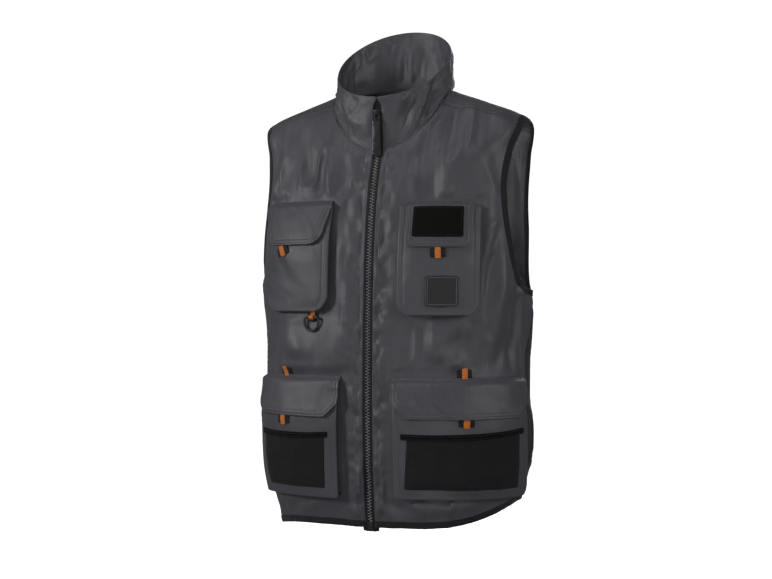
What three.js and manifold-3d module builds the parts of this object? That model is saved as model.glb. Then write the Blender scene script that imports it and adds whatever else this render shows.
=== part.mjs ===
// A sleeveless utility work vest, shown as it is worn: a shell of cloth panels with a stand collar,
// a closed front zip, bound armholes and hem, two chest pockets and two lower pockets.
// Millimetres, +Z up. The front faces -Y and the wearer's left is +X. The origin lies on the
// centre line at the height where the shoulders meet the collar, inside the neck opening.
import * as THREE from 'three';
import { mergeVertices } from 'three/addons/utils/BufferGeometryUtils.js';
import Module from 'manifold-3d';

const wasm = await Module();
wasm.setup();

// Driving dimensions of the body
const BODY_LENGTH = 675; // side neck point to the front hem
const CHEST_HALF_WIDTH = 220;
const FRONT_DEPTH = 138; // chest in front of the shoulder line
const BACK_DEPTH = 124;
const SHOULDER_HALF_WIDTH = 222;
const SHOULDER_DROP = 60; // side neck point down to the shoulder point
const NECK_HALF_WIDTH = 94;
const NECK_FRONT_DROP = 98;
const NECK_BACK_RISE = 18;
const ARMHOLE_TOP = 52; // below the side neck point
const ARMHOLE_DEPTH = 262;
const HEM_LIFT_LEFT = 34; // the hem is drawn up on the wearer's left side
const HEM_LIFT_RIGHT = -18; // and hangs lower on the right
const COLLAR_HALF_WIDTH = 90;
const COLLAR_HALF_DEPTH = 85;
const COLLAR_CENTRE = -10;
const COLLAR_FRONT_TOP = -18; // below the side neck point
const COLLAR_BACK_TOP = 110; // above it

// Cloth and seams
const CLOTH = 1.5;
const COLLAR_CLOTH = 2.4;
const SEAM_GAP = 0.4; // half of the gap left between two sewn edges
const COLLAR_GAP = 1.9; // the collar's foot above the neckline, because it stands at an angle
const REST_GAP = 0.5; // between a piece and the cloth that it lies on
const LAYER_GAP = 0.8; // between a pocket's bag and what lies over it
const BINDING_WIDTH = 11;
const BINDING_THICKNESS = 3.4;

// Zip
const ZIP_OPENING = 15.6; // between the front edges
const ZIP_TOP = 37; // below the side neck point
const TEETH_WIDTH = 5.2;
const TEETH_THICKNESS = 2.8;
const TAPE_THICKNESS = 1;
const TAPE_END = 6; // the tape runs past the hem
const SLIDER_WIDTH = 9;
const SLIDER_LENGTH = 12;
const SLIDER_PLATE = 1.2;
const SLIDER_WEB = 4; // width and length of the post between the plates
const BRIDGE_WIDTH = 2.6;
const BRIDGE_LENGTH = 8;
const BRIDGE_RISE = 4.2;
const BRIDGE_WALL = 1.2;
const LINK_WIRE = 1.8;
const LINK_WIDTH = 9;
const LINK_LENGTH = 9;
const LINK_CLEARANCE = 0.3;
const PULL_WIDTH = 13;
const PULL_LENGTH = 56;
const PULL_THICKNESS = 2.6;
const PULL_EYE_WALL = 1.1;
const BOX_LENGTH = 15;
const BOX_THICKNESS = 4.5;

// Pockets. across is measured over the cloth from the zip to the pocket's middle, side is +1 on the
// wearer's left; top is the flap's seam below the side neck point.
const CHEST_LEFT = {
  name: 'chest_left', side: 1, across: 107, top: 182, width: 120, bottom: 353, depth: 12, belly: 4,
  corner: 20, flapWidth: 98, flapLength: 70, flapCorner: 12, flapTaper: 3, chamfer: false,
};
const CHEST_RIGHT = {
  name: 'chest_right', side: -1, across: 124, top: 178, width: 124, bottom: 348, depth: 12, belly: 4,
  corner: 26, flapWidth: 128, flapLength: 69, flapCorner: 18, flapTaper: 16, chamfer: false,
};
const LOWER_LEFT = {
  name: 'lower_left', side: 1, across: 147, top: 447, width: 212, bottom: 626, depth: 12, belly: 4,
  corner: 5, flapWidth: 216, flapLength: 59, flapCorner: 24, flapTaper: 0, chamfer: true,
};
const LOWER_RIGHT = {
  name: 'lower_right', side: -1, across: 123, top: 446, width: 154, bottom: 630, depth: 12, belly: 4,
  corner: 5, flapWidth: 158, flapLength: 60, flapCorner: 20, flapTaper: 0, chamfer: true,
};
const POCKETS = [CHEST_LEFT, CHEST_RIGHT, LOWER_LEFT, LOWER_RIGHT];
const BAG_CLOTH = 1.6;
const MOUTH_SHARE = 0.4; // of the pocket's depth, at its mouth
const GUSSET_LEAN = 1.5;
const GUSSET_ROUND = 6;
const FLAP_CLOTH = 2;
const FLAP_RISE = 8; // from the seam to the pocket's mouth
const FLAP_GAP = 1.6; // the flap stands proud of the bag
const MESH_BORDER = 16; // grey cloth left beside the mesh
const MESH_FOOT = 15; // and below it
const MESH_HEIGHT = 78;
const MESH_CLOTH = 1.2;
const TRIM_HEIGHT = 8;
const TRIM_THICKNESS = 2.2;
const TRIM_OVERRUN = 3; // the trim runs past the mesh at both ends

// Small fittings
const HOOK_WIDTH = 76;
const HOOK_HEIGHT = 47;
const HOOK_THICKNESS = 1.6;
const HOOK_BELOW_SEAM = 9;
const BADGE_WIDTH = 52;
const BADGE_HEIGHT = 48;
const BADGE_THICKNESS = 1.4;
const BADGE_ABOVE_BOTTOM = 12;
const BADGE_SHIFT = 7; // towards the wearer's side
const TAB_WIDTH = 18;
const TAB_HEIGHT = 13;
const TAB_THICKNESS = 1.4;
const STRIP_WIDTH = 7.5;
const STRIP_HEIGHT = 16;
const STRIP_THICKNESS = 1.1;
const RING_WIDTH = 27;
const RING_DROP = 19;
const RING_WIRE = 3.4;
const RING_ACROSS = 92; // from the zip, on the wearer's right
const RING_BELOW_POCKET = 8.5;
const RING_LOOP_WIDTH = 8;
const RING_LOOP_WALL = 1.3;
const RING_CLEARANCE = 0.35; // between the ring's bar and its loop

// Sections of the body below the shoulder point. down: share of the length from the shoulder point
// to the hem; wide, front, back: shares of the chest's half width and depths; blade: how far the
// back is squared over the shoulder blades.
const BODY_SECTIONS = [
  { down: 1.06, wide: 0.82, front: 0.84, back: 0.86, blade: 0 },
  { down: 0.943, wide: 0.915, front: 0.93, back: 0.92, blade: 0 },
  { down: 0.862, wide: 0.965, front: 0.965, back: 0.95, blade: 0 },
  { down: 0.748, wide: 0.98, front: 1, back: 0.97, blade: 0 },
  { down: 0.602, wide: 0.97, front: 1, back: 0.985, blade: 0 },
  { down: 0.439, wide: 0.978, front: 0.98, back: 1, blade: 0.15 },
  { down: 0.293, wide: 1.003, front: 0.93, back: 0.985, blade: 0.6 },
  { down: 0.163, wide: 0.995, front: 0.815, back: 0.935, blade: 0.8 },
  { down: 0.065, wide: 1, front: 0.65, back: 0.855, blade: 0.6 },
];
// Sections over the shoulders. drop: share of the shoulder drop; out: share of the way from the
// neck's half width to the shoulder's; front, back: shares of the chest's depths.
const SHOULDER_SECTIONS = [
  { drop: 1, out: 1, front: 0.52, back: 0.76, blade: 0.3 },
  { drop: 0.7, out: 0.86, front: 0.45, back: 0.71, blade: 0.15 },
  { drop: 0.37, out: 0.45, front: 0.365, back: 0.645, blade: 0 },
  { drop: 0, out: 0, front: 0.29, back: 0.58, blade: 0 },
  { drop: -0.37, out: -0.19, front: 0.22, back: 0.5, blade: 0 },
];
// The neckline by angle round the body. drop: share of the front drop, rise: share of the back rise.
const NECKLINE = [
  { angle: 0, drop: 1, rise: 0 },
  { angle: 5.8, drop: 0.952, rise: 0 },
  { angle: 11.2, drop: 0.823, rise: 0 },
  { angle: 16, drop: 0.633, rise: 0 },
  { angle: 22, drop: 0.41, rise: 0 },
  { angle: 28.3, drop: 0.29, rise: 0 },
  { angle: 36, drop: 0.2, rise: 0 },
  { angle: 51, drop: 0.09, rise: 0 },
  { angle: 90, drop: 0, rise: 0 },
  { angle: 120, drop: 0, rise: 0.34 },
  { angle: 150, drop: 0, rise: 0.74 },
  { angle: 180, drop: 0, rise: 1 },
];
// The front side seam. up: share of its height, angle: degrees from the zip.
const SIDE_SEAM = [
  { up: 0, angle: 82.5 },
  { up: 0.5, angle: 82.4 },
  { up: 0.64, angle: 84 },
  { up: 0.8, angle: 89 },
  { up: 1, angle: 89 },
];
// Main folds. angle: degrees from the zip, positive to the wearer's left; down, long, wide: shares
// of the body length; lean: degrees from vertical, positive to the wearer's left at the top;
// high: share of the fold height, negative for a valley.
const FOLD_HEIGHT = 8;
const FOLD_HOLD = 18; // a pocket holds the cloth flat this far round it
const FOLD_EASE = 24; // and the folds come back over this distance
const FOLDS = [
  { angle: 38, down: 0.2, long: 0.13, wide: 0.035, lean: 42, high: 0.75 },
  { angle: 56, down: 0.24, long: 0.06, wide: 0.025, lean: 55, high: -0.4 },
  { angle: 10, down: 0.33, long: 0.16, wide: 0.02, lean: 2, high: 0.3 },
  { angle: 25, down: 0.585, long: 0.09, wide: 0.025, lean: 12, high: 0.6 },
  { angle: 36, down: 0.58, long: 0.08, wide: 0.026, lean: 14, high: -0.5 },
  { angle: 58, down: 0.5, long: 0.13, wide: 0.03, lean: 10, high: 0.7 },
  { angle: 70, down: 0.52, long: 0.12, wide: 0.028, lean: 6, high: -0.5 },
  { angle: 40, down: 0.975, long: 0.07, wide: 0.02, lean: 72, high: 0.5 },
  { angle: 14, down: 0.96, long: 0.05, wide: 0.02, lean: -45, high: 0.5 },
  { angle: -16, down: 0.2, long: 0.1, wide: 0.025, lean: -14, high: 0.6 },
  { angle: -30, down: 0.19, long: 0.1, wide: 0.028, lean: -24, high: -0.45 },
  { angle: -9, down: 0.55, long: 0.13, wide: 0.018, lean: -10, high: 0.35 },
  { angle: -32, down: 0.6, long: 0.06, wide: 0.026, lean: -20, high: 0.5 },
  { angle: -62, down: 0.6, long: 0.14, wide: 0.03, lean: -4, high: 0.4 },
  { angle: 150, down: 0.4, long: 0.25, wide: 0.05, lean: 8, high: 0.6 },
  { angle: -150, down: 0.42, long: 0.25, wide: 0.05, lean: -8, high: 0.6 },
  { angle: 125, down: 0.75, long: 0.14, wide: 0.035, lean: -25, high: 0.6 },
  { angle: -128, down: 0.72, long: 0.14, wide: 0.035, lean: 25, high: 0.6 },
];
// Soft valleys and swells of the collar. angle: degrees round the collar at its foot; lean: degrees
// gained to its top; wide: degrees; high: share of the fold height.
const COLLAR_FOLDS = [
  { angle: 23, lean: 15, wide: 8, high: -0.8 },
  { angle: 36, lean: 18, wide: 7, high: 0.5 },
  { angle: 50, lean: 19, wide: 9, high: -0.9 },
  { angle: -40, lean: -10, wide: 12, high: 0.4 },
  { angle: 150, lean: 10, wide: 16, high: 0.5 },
  { angle: -140, lean: 0, wide: 18, high: -0.4 },
];

const RAD = Math.PI / 180;
const HEM_Z = -BODY_LENGTH;
const FRONT_EDGE = ZIP_OPENING / 2;
const ON_CLOTH = CLOTH / 2 + REST_GAP; // foot of a piece that lies on the body
const SECTION_SQUARENESS = 0.1;
const BLADE_SQUARENESS = 0.36;
const FOLD_RADIUS = (CHEST_HALF_WIDTH + (FRONT_DEPTH + BACK_DEPTH) / 2) / 2;

const range = (n) => Array.from({ length: n + 1 }, (_, i) => i / n);
const mix = (a, b, t) => a.map((v, k) => v * (1 - t) + b[k] * t);
const ease = (x) => {
  const t = Math.min(Math.max(x, 0), 1);
  return t * t * (3 - 2 * t);
};

// Smooth curve through the rows of a table: cubic pieces whose slopes follow the neighbours
function smooth(rows, key, value, x) {
  const n = rows.length;
  const at = Math.min(Math.max(x, rows[0][key]), rows[n - 1][key]);
  let i = 0;
  while (i < n - 2 && at > rows[i + 1][key]) i += 1;
  const slope = (k) => {
    const a = rows[Math.max(k - 1, 0)];
    const b = rows[Math.min(k + 1, n - 1)];
    return (b[value] - a[value]) / (b[key] - a[key]);
  };
  const span = rows[i + 1][key] - rows[i][key];
  const t = (at - rows[i][key]) / span;
  const p = rows[i][value];
  const q = rows[i + 1][value];
  return (2 * t ** 3 - 3 * t ** 2 + 1) * p + (t ** 3 - 2 * t ** 2 + t) * span * slope(i)
    + (-2 * t ** 3 + 3 * t ** 2) * q + (t ** 3 - t ** 2) * span * slope(i + 1);
}

// All sections in millimetres, from the hem up
const SECTIONS = [
  ...BODY_SECTIONS.map((r) => ({
    z: -SHOULDER_DROP - r.down * (BODY_LENGTH - SHOULDER_DROP),
    wide: r.wide * CHEST_HALF_WIDTH,
    front: r.front * FRONT_DEPTH,
    back: r.back * BACK_DEPTH,
    blade: r.blade,
  })),
  ...SHOULDER_SECTIONS.map((r) => ({
    z: -r.drop * SHOULDER_DROP,
    wide: NECK_HALF_WIDTH + r.out * (SHOULDER_HALF_WIDTH - NECK_HALF_WIDTH),
    front: r.front * FRONT_DEPTH,
    back: r.back * BACK_DEPTH,
    blade: r.blade,
  })),
];
const NECK_HEIGHTS = NECKLINE.map((r) => ({
  angle: r.angle,
  z: r.rise * NECK_BACK_RISE - r.drop * NECK_FRONT_DROP,
}));

// A point of the unfolded body: a squared ellipse at height z, at an angle from the zip
function torso(angle, z) {
  const s = Math.sin(angle * RAD);
  const c = Math.cos(angle * RAD);
  const wide = smooth(SECTIONS, 'z', 'wide', z);
  const deep = smooth(SECTIONS, 'z', c > 0 ? 'front' : 'back', z);
  const blade = c > 0 ? 0 : smooth(SECTIONS, 'z', 'blade', z);
  const square = SECTION_SQUARENESS + blade * (BLADE_SQUARENESS - SECTION_SQUARENESS);
  return new THREE.Vector3(
    wide * s * (1 + SECTION_SQUARENESS * c * c),
    -deep * c * (1 + square * s * s),
    z,
  );
}
const alongAngle = (angle, z) => torso(angle + 0.5, z).sub(torso(angle - 0.5, z));
const alongHeight = (angle, z) => torso(angle, z + 0.5).sub(torso(angle, z - 0.5));
const torsoNormal = (angle, z) => alongAngle(angle, z).cross(alongHeight(angle, z)).normalize();

// The angle at a distance along the cloth from the zip, at height z
function angleAt(across, z) {
  const STEP = 2;
  const sign = Math.sign(across) || 1;
  const goal = Math.abs(across);
  let run = 0;
  let here = torso(0, z);
  for (let a = STEP; a <= 180; a += STEP) {
    const next = torso(a, z);
    const piece = next.distanceTo(here);
    if (run + piece >= goal) return sign * (a - STEP + (STEP * (goal - run)) / piece);
    run += piece;
    here = next;
  }
  return sign * 180;
}

// The pockets hold the cloth round them flat: 0 there, 1 well away from them
const HELD_AREAS = POCKETS.map((p) => {
  const level = -(p.top + p.bottom) / 2;
  const [from, to] = [-0.5, 0.5].map((k) => angleAt(p.side * p.across + k * p.width, level));
  return { turn: (from + to) / 2, half: (to - from) / 2, level, tall: (p.bottom - p.top) / 2 };
});
function freedom(angle, z) {
  return HELD_AREAS.reduce((free, a) => {
    const across = (Math.abs(angle - a.turn) - a.half) * RAD * FOLD_RADIUS;
    const along = Math.abs(z - a.level) - a.tall;
    return free * ease((Math.max(across, along) - FOLD_HOLD) / FOLD_EASE);
  }, 1);
}

// Height of the folds at a point of the body: each is a long bell with its own lean
function foldHeight(angle, z) {
  const atZip = ease((Math.abs(angle) - 2) / 6);
  const sum = FOLDS.reduce((total, f) => {
    const turn = ((angle - f.angle + 540) % 360) - 180;
    const x = turn * RAD * FOLD_RADIUS;
    const y = z + f.down * BODY_LENGTH;
    const lean = f.lean * RAD;
    const along = (x * Math.sin(lean) + y * Math.cos(lean)) / (f.long * BODY_LENGTH);
    const aside = (x * Math.cos(lean) - y * Math.sin(lean)) / (f.wide * BODY_LENGTH);
    return total + f.high * Math.exp(-along * along - aside * aside);
  }, 0);
  return FOLD_HEIGHT * sum * freedom(angle, z) * atZip;
}

// A point of the cloth, raised above its middle by an offset
function skin([angle, z], offset = 0) {
  return torso(angle, z).addScaledVector(torsoNormal(angle, z), foldHeight(angle, z) + offset);
}
// The same, placed by the distance along the cloth from the zip
const onCloth = (across, z, offset) => skin([angleAt(across, z), z], offset);

// Moves a place [angle, z] sideways over the cloth, to the left of a direction of travel
function aside([angle, z], travel, distance) {
  const u = alongAngle(angle, z);
  const v = alongHeight(angle, z);
  const goal = torsoNormal(angle, z).cross(travel).setLength(distance);
  const [uu, uv, vv] = [u.dot(u), u.dot(v), v.dot(v)];
  const [gu, gv] = [goal.dot(u), goal.dot(v)];
  const det = uu * vv - uv * uv;
  return [angle + (gu * vv - gv * uv) / det, z + (gv * uu - gu * uv) / det];
}

// Seam lines, as places [angle, z] on the body
const SEAM_ANGLE = 0.13; // degrees that clear half a seam gap at the side
const BACK_SIDE_SEAM = 106.5; // degrees
const SHOULDER_SEAM_ANGLE = 30; // degrees, where the forward shoulder seam meets the neckline
const SHOULDER_BACK_ANGLE = 125; // degrees, where the shoulder turns into the back
const ARMHOLE_FRONT_BULGE = 32; // degrees
const ARMHOLE_BACK_BULGE = 24; // degrees
const ARMHOLE_BOTTOM_SHIFT = 7; // degrees
const ARMHOLE_ROUNDNESS = 0.6;
const PANEL_EDGE = BINDING_WIDTH + 2 * SEAM_GAP; // from a bound edge to the panel's own edge

function neckline(angle, up = 0) {
  const place = (a) => [a, smooth(NECK_HEIGHTS, 'angle', 'z', Math.abs(a))];
  if (!up) return place(angle);
  const travel = torso(...place(angle + 1)).sub(torso(...place(angle - 1)));
  return aside(place(angle), travel, up);
}

function hemline(angle, up = 0) {
  const s = Math.sin(angle * RAD);
  const lift = s > 0 ? HEM_LIFT_LEFT : HEM_LIFT_RIGHT;
  return [angle, HEM_Z + lift * s ** 4 + up];
}

// The armhole by a turn from its lowest point (-1), up the front, over the shoulder point (0) and
// down the back (1); out moves away from the hole, over the cloth
function armhole(turn, out = 0) {
  const place = (raw) => {
    const q = ((raw + 3) % 2) - 1;
    const fall = (1 - Math.cos(Math.PI * q)) / 2;
    const bulge = q < 0 ? -ARMHOLE_FRONT_BULGE : ARMHOLE_BACK_BULGE;
    const angle = 90 + ARMHOLE_BOTTOM_SHIFT * fall
      + bulge * Math.abs(Math.sin(Math.PI * q)) ** ARMHOLE_ROUNDNESS;
    return [angle, -ARMHOLE_TOP - ARMHOLE_DEPTH * fall];
  };
  if (!out) return place(turn);
  const STEP = 0.01;
  const travel = torso(...place(turn + STEP)).sub(torso(...place(turn - STEP)));
  return aside(place(turn), travel, out);
}

// Grid between four sides given as lines of places: the blend of opposite sides less the corners
function patch(bottom, top, left, right) {
  const nu = bottom.length - 1;
  const nv = left.length - 1;
  return range(nv).map((v, j) => range(nu).map((u, i) => [0, 1].map((k) => (
    (1 - v) * bottom[i][k] + v * top[i][k] + (1 - u) * left[j][k] + u * right[j][k]
    - (1 - v) * ((1 - u) * bottom[0][k] + u * bottom[nu][k])
    - v * ((1 - u) * top[0][k] + u * top[nu][k])
  ))));
}
const onSide = (domain, side) => (side > 0 ? domain
  : domain.map((row) => row.map(([a, z]) => [-a, z]).reverse()));

// The triangles of a cell, split along its shorter diagonal; its corners are keys into points
function split([a, b, c, d], pointOf) {
  return pointOf(a).distanceTo(pointOf(c)) <= pointOf(b).distanceTo(pointOf(d))
    ? [[a, b, c], [a, c, d]] : [[a, b, d], [b, c, d]];
}
// The cells of a grid, each with its corners anticlockwise
const cellsOf = (grid) => grid.slice(1).flatMap((row, j) => row.slice(1)
  .map((corner, i) => [grid[j][i], grid[j][i + 1], corner, row[i]]));

// The rim of a grid, anticlockwise seen from its outer face
function rim(grid) {
  const last = grid.length - 1;
  const end = grid[0].length - 1;
  return [
    ...grid[0].slice(0, end),
    ...grid.slice(0, last).map((row) => row[end]),
    ...grid[last].slice(1).reverse(),
    ...grid.slice(1).map((row) => row[0]).reverse(),
  ];
}

const geometryOf = (points) => mergeVertices(new THREE.BufferGeometry().setFromPoints(points), 1e-4);

// A closed wall between an outer and an inner grid of the same shape
function wall(outer, inner) {
  const keys = outer.map((row, j) => row.map((_, i) => [j, i]));
  const faces = cellsOf(keys).flatMap((cell) => split(cell, ([j, i]) => outer[j][i]));
  const a = rim(outer);
  const b = rim(inner);
  const sides = a.flatMap((p, k) => {
    const n = (k + 1) % a.length;
    return [p, b[k], b[n], p, b[n], a[n]];
  });
  return geometryOf([
    ...faces.flatMap((f) => f.map(([j, i]) => outer[j][i])),
    ...faces.flatMap(([p, q, r]) => [p, r, q].map(([j, i]) => inner[j][i])),
    ...sides,
  ]);
}

// A closed tube from rings of points, each ring joined to the next and the last to the first
function closedTube(rings) {
  const loop = [...rings, rings[0]].map((ring) => [...ring, ring[0]]);
  return geometryOf(cellsOf(loop).flatMap((cell) => split(cell, (p) => p).flat()));
}

// Joins and cuts of closed geometries
function solid(geometry) {
  const bare = geometry.clone();
  bare.deleteAttribute('normal');
  bare.deleteAttribute('uv');
  const merged = mergeVertices(bare, 1e-4);
  return new wasm.Manifold(new wasm.Mesh({
    numProp: 3,
    vertProperties: new Float32Array(merged.attributes.position.array),
    triVerts: new Uint32Array(merged.index.array),
  }));
}
function joined(...geometries) {
  const mesh = geometries.map(solid).reduce((a, b) => a.add(b)).getMesh();
  const g = new THREE.BufferGeometry();
  g.setAttribute('position', new THREE.BufferAttribute(mesh.vertProperties, 3));
  g.setIndex(new THREE.BufferAttribute(mesh.triVerts, 1));
  return g;
}

// Materials
const finish = (color, roughness, metalness = 0) => (
  new THREE.MeshStandardMaterial({ color, roughness, metalness }));
const RIPSTOP = finish(0x47464c, 0.62);
const STRETCH = finish(0x1d1c1e, 0.85);
const BINDING = finish(0x131214, 0.8);
const KNIT_MESH = finish(0x1b1a1b, 0.9);
const HOOK = finish(0x121112, 0.95);
const WEBBING = finish(0x17171a, 0.8);
const ORANGE = finish(0xd9742c, 0.6);
const MOULDED = finish(0x1a1a1a, 0.45);
const BADGE = finish(0x232224, 0.55);

const vest = new THREE.Group();
function add(name, geometry, material) {
  const mesh = new THREE.Mesh(geometry, material);
  mesh.name = name;
  vest.add(mesh);
  return mesh;
}

// Body panels
const NECK_FRONT_CELLS = 6;
const SHOULDER_SEAM_CELLS = 8;
const ARMHOLE_CELLS = 9;
const SIDE_SEAM_CELLS = 13;
const STRAP_CELLS = 8; // round the shoulder, from the seam to the back
const STRAP_OUT_CELLS = 4; // from the neck to the armhole
const BACK_CELLS = 6; // of each half of the back
const SIDE_CELLS = 4;
const ARMHOLE_SEAM_TURN = -0.15; // where the shoulder seam meets the armhole
const ARMHOLE_STRAP_TURN = 0.24; // where the strap meets the back
const ARMHOLE_SIDE_TURN = 0.97; // where the side panel begins
const SIDE_SEAM_TOP = SIDE_SEAM[SIDE_SEAM.length - 1].angle;

const run = (line, from, to, cells, ...more) => range(cells)
  .map((t) => line(from + t * (to - from), ...more));
const armholeEdge = (from, to, cells) => run(armhole, from, to, cells, PANEL_EDGE);

// The forward shoulder seam, from the neckline to the armhole
function shoulderSeam(up) {
  const start = neckline(SHOULDER_SEAM_ANGLE, -SEAM_GAP);
  const end = armhole(ARMHOLE_SEAM_TURN, PANEL_EDGE);
  const travel = torso(...end).sub(torso(...start));
  return range(SHOULDER_SEAM_CELLS).map((t) => aside(mix(start, end, t), travel, up));
}

// The front seam of the side panel, from the hem up to the armhole
function sideSeam(side, shift) {
  const top = armhole(-ARMHOLE_SIDE_TURN, PANEL_EDGE)[1];
  const foot = hemline(side * SIDE_SEAM[0].angle, PANEL_EDGE)[1];
  return range(SIDE_SEAM_CELLS).map((t) => (
    [smooth(SIDE_SEAM, 'up', 'angle', t) + shift, foot + t * (top - foot)]));
}

// One front panel: the zip edge, the neckline and shoulder seam, the armhole and the side seam
function frontDomain(side) {
  const seam = shoulderSeam(-SEAM_GAP);
  const neckStart = angleAt(FRONT_EDGE, neckline(0, -SEAM_GAP)[1]);
  const neck = run(neckline, neckStart, SHOULDER_SEAM_ANGLE, NECK_FRONT_CELLS, -SEAM_GAP);
  const top = [...neck.slice(0, -1), ...seam];
  const arm = armholeEdge(-ARMHOLE_SIDE_TURN, ARMHOLE_SEAM_TURN, ARMHOLE_CELLS);
  arm[0][0] = SIDE_SEAM_TOP - SEAM_ANGLE;
  arm[ARMHOLE_CELLS] = seam[SHOULDER_SEAM_CELLS];
  const outer = [...sideSeam(side, -SEAM_ANGLE).slice(0, -1), ...arm];
  const rise = (k) => (outer[k][1] - outer[0][1]) / (outer[outer.length - 1][1] - outer[0][1]);
  const foot = hemline(0, PANEL_EDGE)[1];
  const inner = outer.map((_, k) => {
    const z = foot + rise(k) * (top[0][1] - foot);
    return [angleAt(FRONT_EDGE, z), z];
  });
  const bottom = range(top.length - 1).map((t) => {
    const angle = inner[0][0] + t * (outer[0][0] - inner[0][0]);
    return [angle, hemline(side * angle, PANEL_EDGE)[1]];
  });
  return patch(bottom, top, inner, outer);
}

// The stretch panel under the arm
function sideDomain(side) {
  const back = BACK_SIDE_SEAM - SEAM_ANGLE;
  const top = run(armhole, -ARMHOLE_SIDE_TURN, ARMHOLE_SIDE_TURN - 2, SIDE_CELLS, PANEL_EDGE);
  const left = sideSeam(side, SEAM_ANGLE);
  top[0] = left[SIDE_SEAM_CELLS];
  top[SIDE_CELLS][0] = back;
  const bottom = range(SIDE_CELLS).map((t) => {
    const angle = left[0][0] + t * (back - left[0][0]);
    return [angle, hemline(side * angle, PANEL_EDGE)[1]];
  });
  const right = range(SIDE_SEAM_CELLS).map((t) => mix(bottom[SIDE_CELLS], top[SIDE_CELLS], t));
  return patch(bottom, top, left, right);
}

// The back panel runs over each shoulder to the forward seam: a strap and half a back on each side
function strapSplit() {
  const inner = neckline(SHOULDER_BACK_ANGLE, -SEAM_GAP);
  const outer = armhole(ARMHOLE_STRAP_TURN, PANEL_EDGE);
  return range(STRAP_OUT_CELLS).map((t) => mix(outer, inner, t));
}
function strapDomain() {
  const seam = shoulderSeam(SEAM_GAP);
  const start = range(STRAP_OUT_CELLS)
    .map((t) => seam[Math.round((1 - t) * SHOULDER_SEAM_CELLS)]);
  const neck = run(neckline, SHOULDER_SEAM_ANGLE, SHOULDER_BACK_ANGLE, STRAP_CELLS, -SEAM_GAP);
  const arm = armholeEdge(ARMHOLE_SEAM_TURN, ARMHOLE_STRAP_TURN, STRAP_CELLS);
  neck[0] = start[STRAP_OUT_CELLS];
  arm[0] = start[0];
  return patch(arm, neck, start, strapSplit());
}
function halfBackDomain(side) {
  const edge = BACK_SIDE_SEAM + SEAM_ANGLE;
  const arm = armholeEdge(ARMHOLE_SIDE_TURN, ARMHOLE_STRAP_TURN, ARMHOLE_CELLS);
  arm[0][0] = edge;
  const foot = [edge, hemline(side * edge, PANEL_EDGE)[1]];
  const sideFrom = (low) => [
    ...range(SIDE_SEAM_CELLS).slice(0, -1).map((t) => mix(low, arm[0], t)),
    ...arm.slice(0, -1),
    ...strapSplit(),
  ];
  const outer = sideFrom(foot);
  const base = hemline(180, PANEL_EDGE);
  const crown = neckline(180, -SEAM_GAP);
  const level = sideFrom([edge, base[1]]).map((place) => place[1]);
  const scale = (crown[1] - base[1]) / (level[level.length - 1] - base[1]);
  const centre = level.map((z) => [180, base[1] + scale * (z - base[1])]);
  const top = run(neckline, SHOULDER_BACK_ANGLE, 180, BACK_CELLS, -SEAM_GAP);
  top[0] = outer[outer.length - 1];
  top[BACK_CELLS] = centre[centre.length - 1];
  const bottom = range(BACK_CELLS).map((t) => {
    const angle = edge + t * (180 - edge);
    return [angle, hemline(side * angle, PANEL_EDGE)[1]];
  });
  return patch(bottom, top, outer, centre);
}

const skinGrid = (domain, offset) => domain.map((row) => row.map((place) => skin(place, offset)));
const clothPanel = (domain) => wall(skinGrid(domain, CLOTH / 2), skinGrid(domain, -CLOTH / 2));

// One wall over several grids that share edges: its rim is every edge that only one face uses
function joinedPanel(domains) {
  const keys = new Map();
  const places = [];
  const indexOf = ([a, z]) => {
    const key = `${Math.abs(a) > 179.999 ? 180 : a.toFixed(4)} ${z.toFixed(4)}`;
    if (!keys.has(key)) {
      keys.set(key, places.length);
      places.push([a, z]);
    }
    return keys.get(key);
  };
  const cells = domains.flatMap((grid) => cellsOf(grid.map((row) => row.map(indexOf))));
  const outer = places.map((place) => skin(place, CLOTH / 2));
  const inner = places.map((place) => skin(place, -CLOTH / 2));
  const faces = cells.flatMap((cell) => split(cell, (k) => outer[k]));
  const edges = (f) => [[f[0], f[1]], [f[1], f[2]], [f[2], f[0]]];
  const used = new Set(faces.flatMap((f) => edges(f).map(([p, q]) => `${p} ${q}`)));
  return geometryOf(faces.flatMap((f) => [
    ...f.map((k) => outer[k]),
    ...[f[0], f[2], f[1]].map((k) => inner[k]),
    ...edges(f).filter(([p, q]) => !used.has(`${q} ${p}`))
      .flatMap(([p, q]) => [outer[p], inner[p], inner[q], outer[p], inner[q], outer[q]]),
  ]));
}

const frontLeft = frontDomain(1);
add('front_panel_left', clothPanel(frontLeft), RIPSTOP);
add('front_panel_right', clothPanel(onSide(frontDomain(-1), -1)), RIPSTOP);
add('side_panel_left', clothPanel(sideDomain(1)), STRETCH);
add('side_panel_right', clothPanel(onSide(sideDomain(-1), -1)), STRETCH);
add('back_panel', joinedPanel([
  strapDomain(),
  halfBackDomain(1),
  onSide(strapDomain(), -1),
  onSide(halfBackDomain(-1), -1),
]), RIPSTOP);

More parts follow.
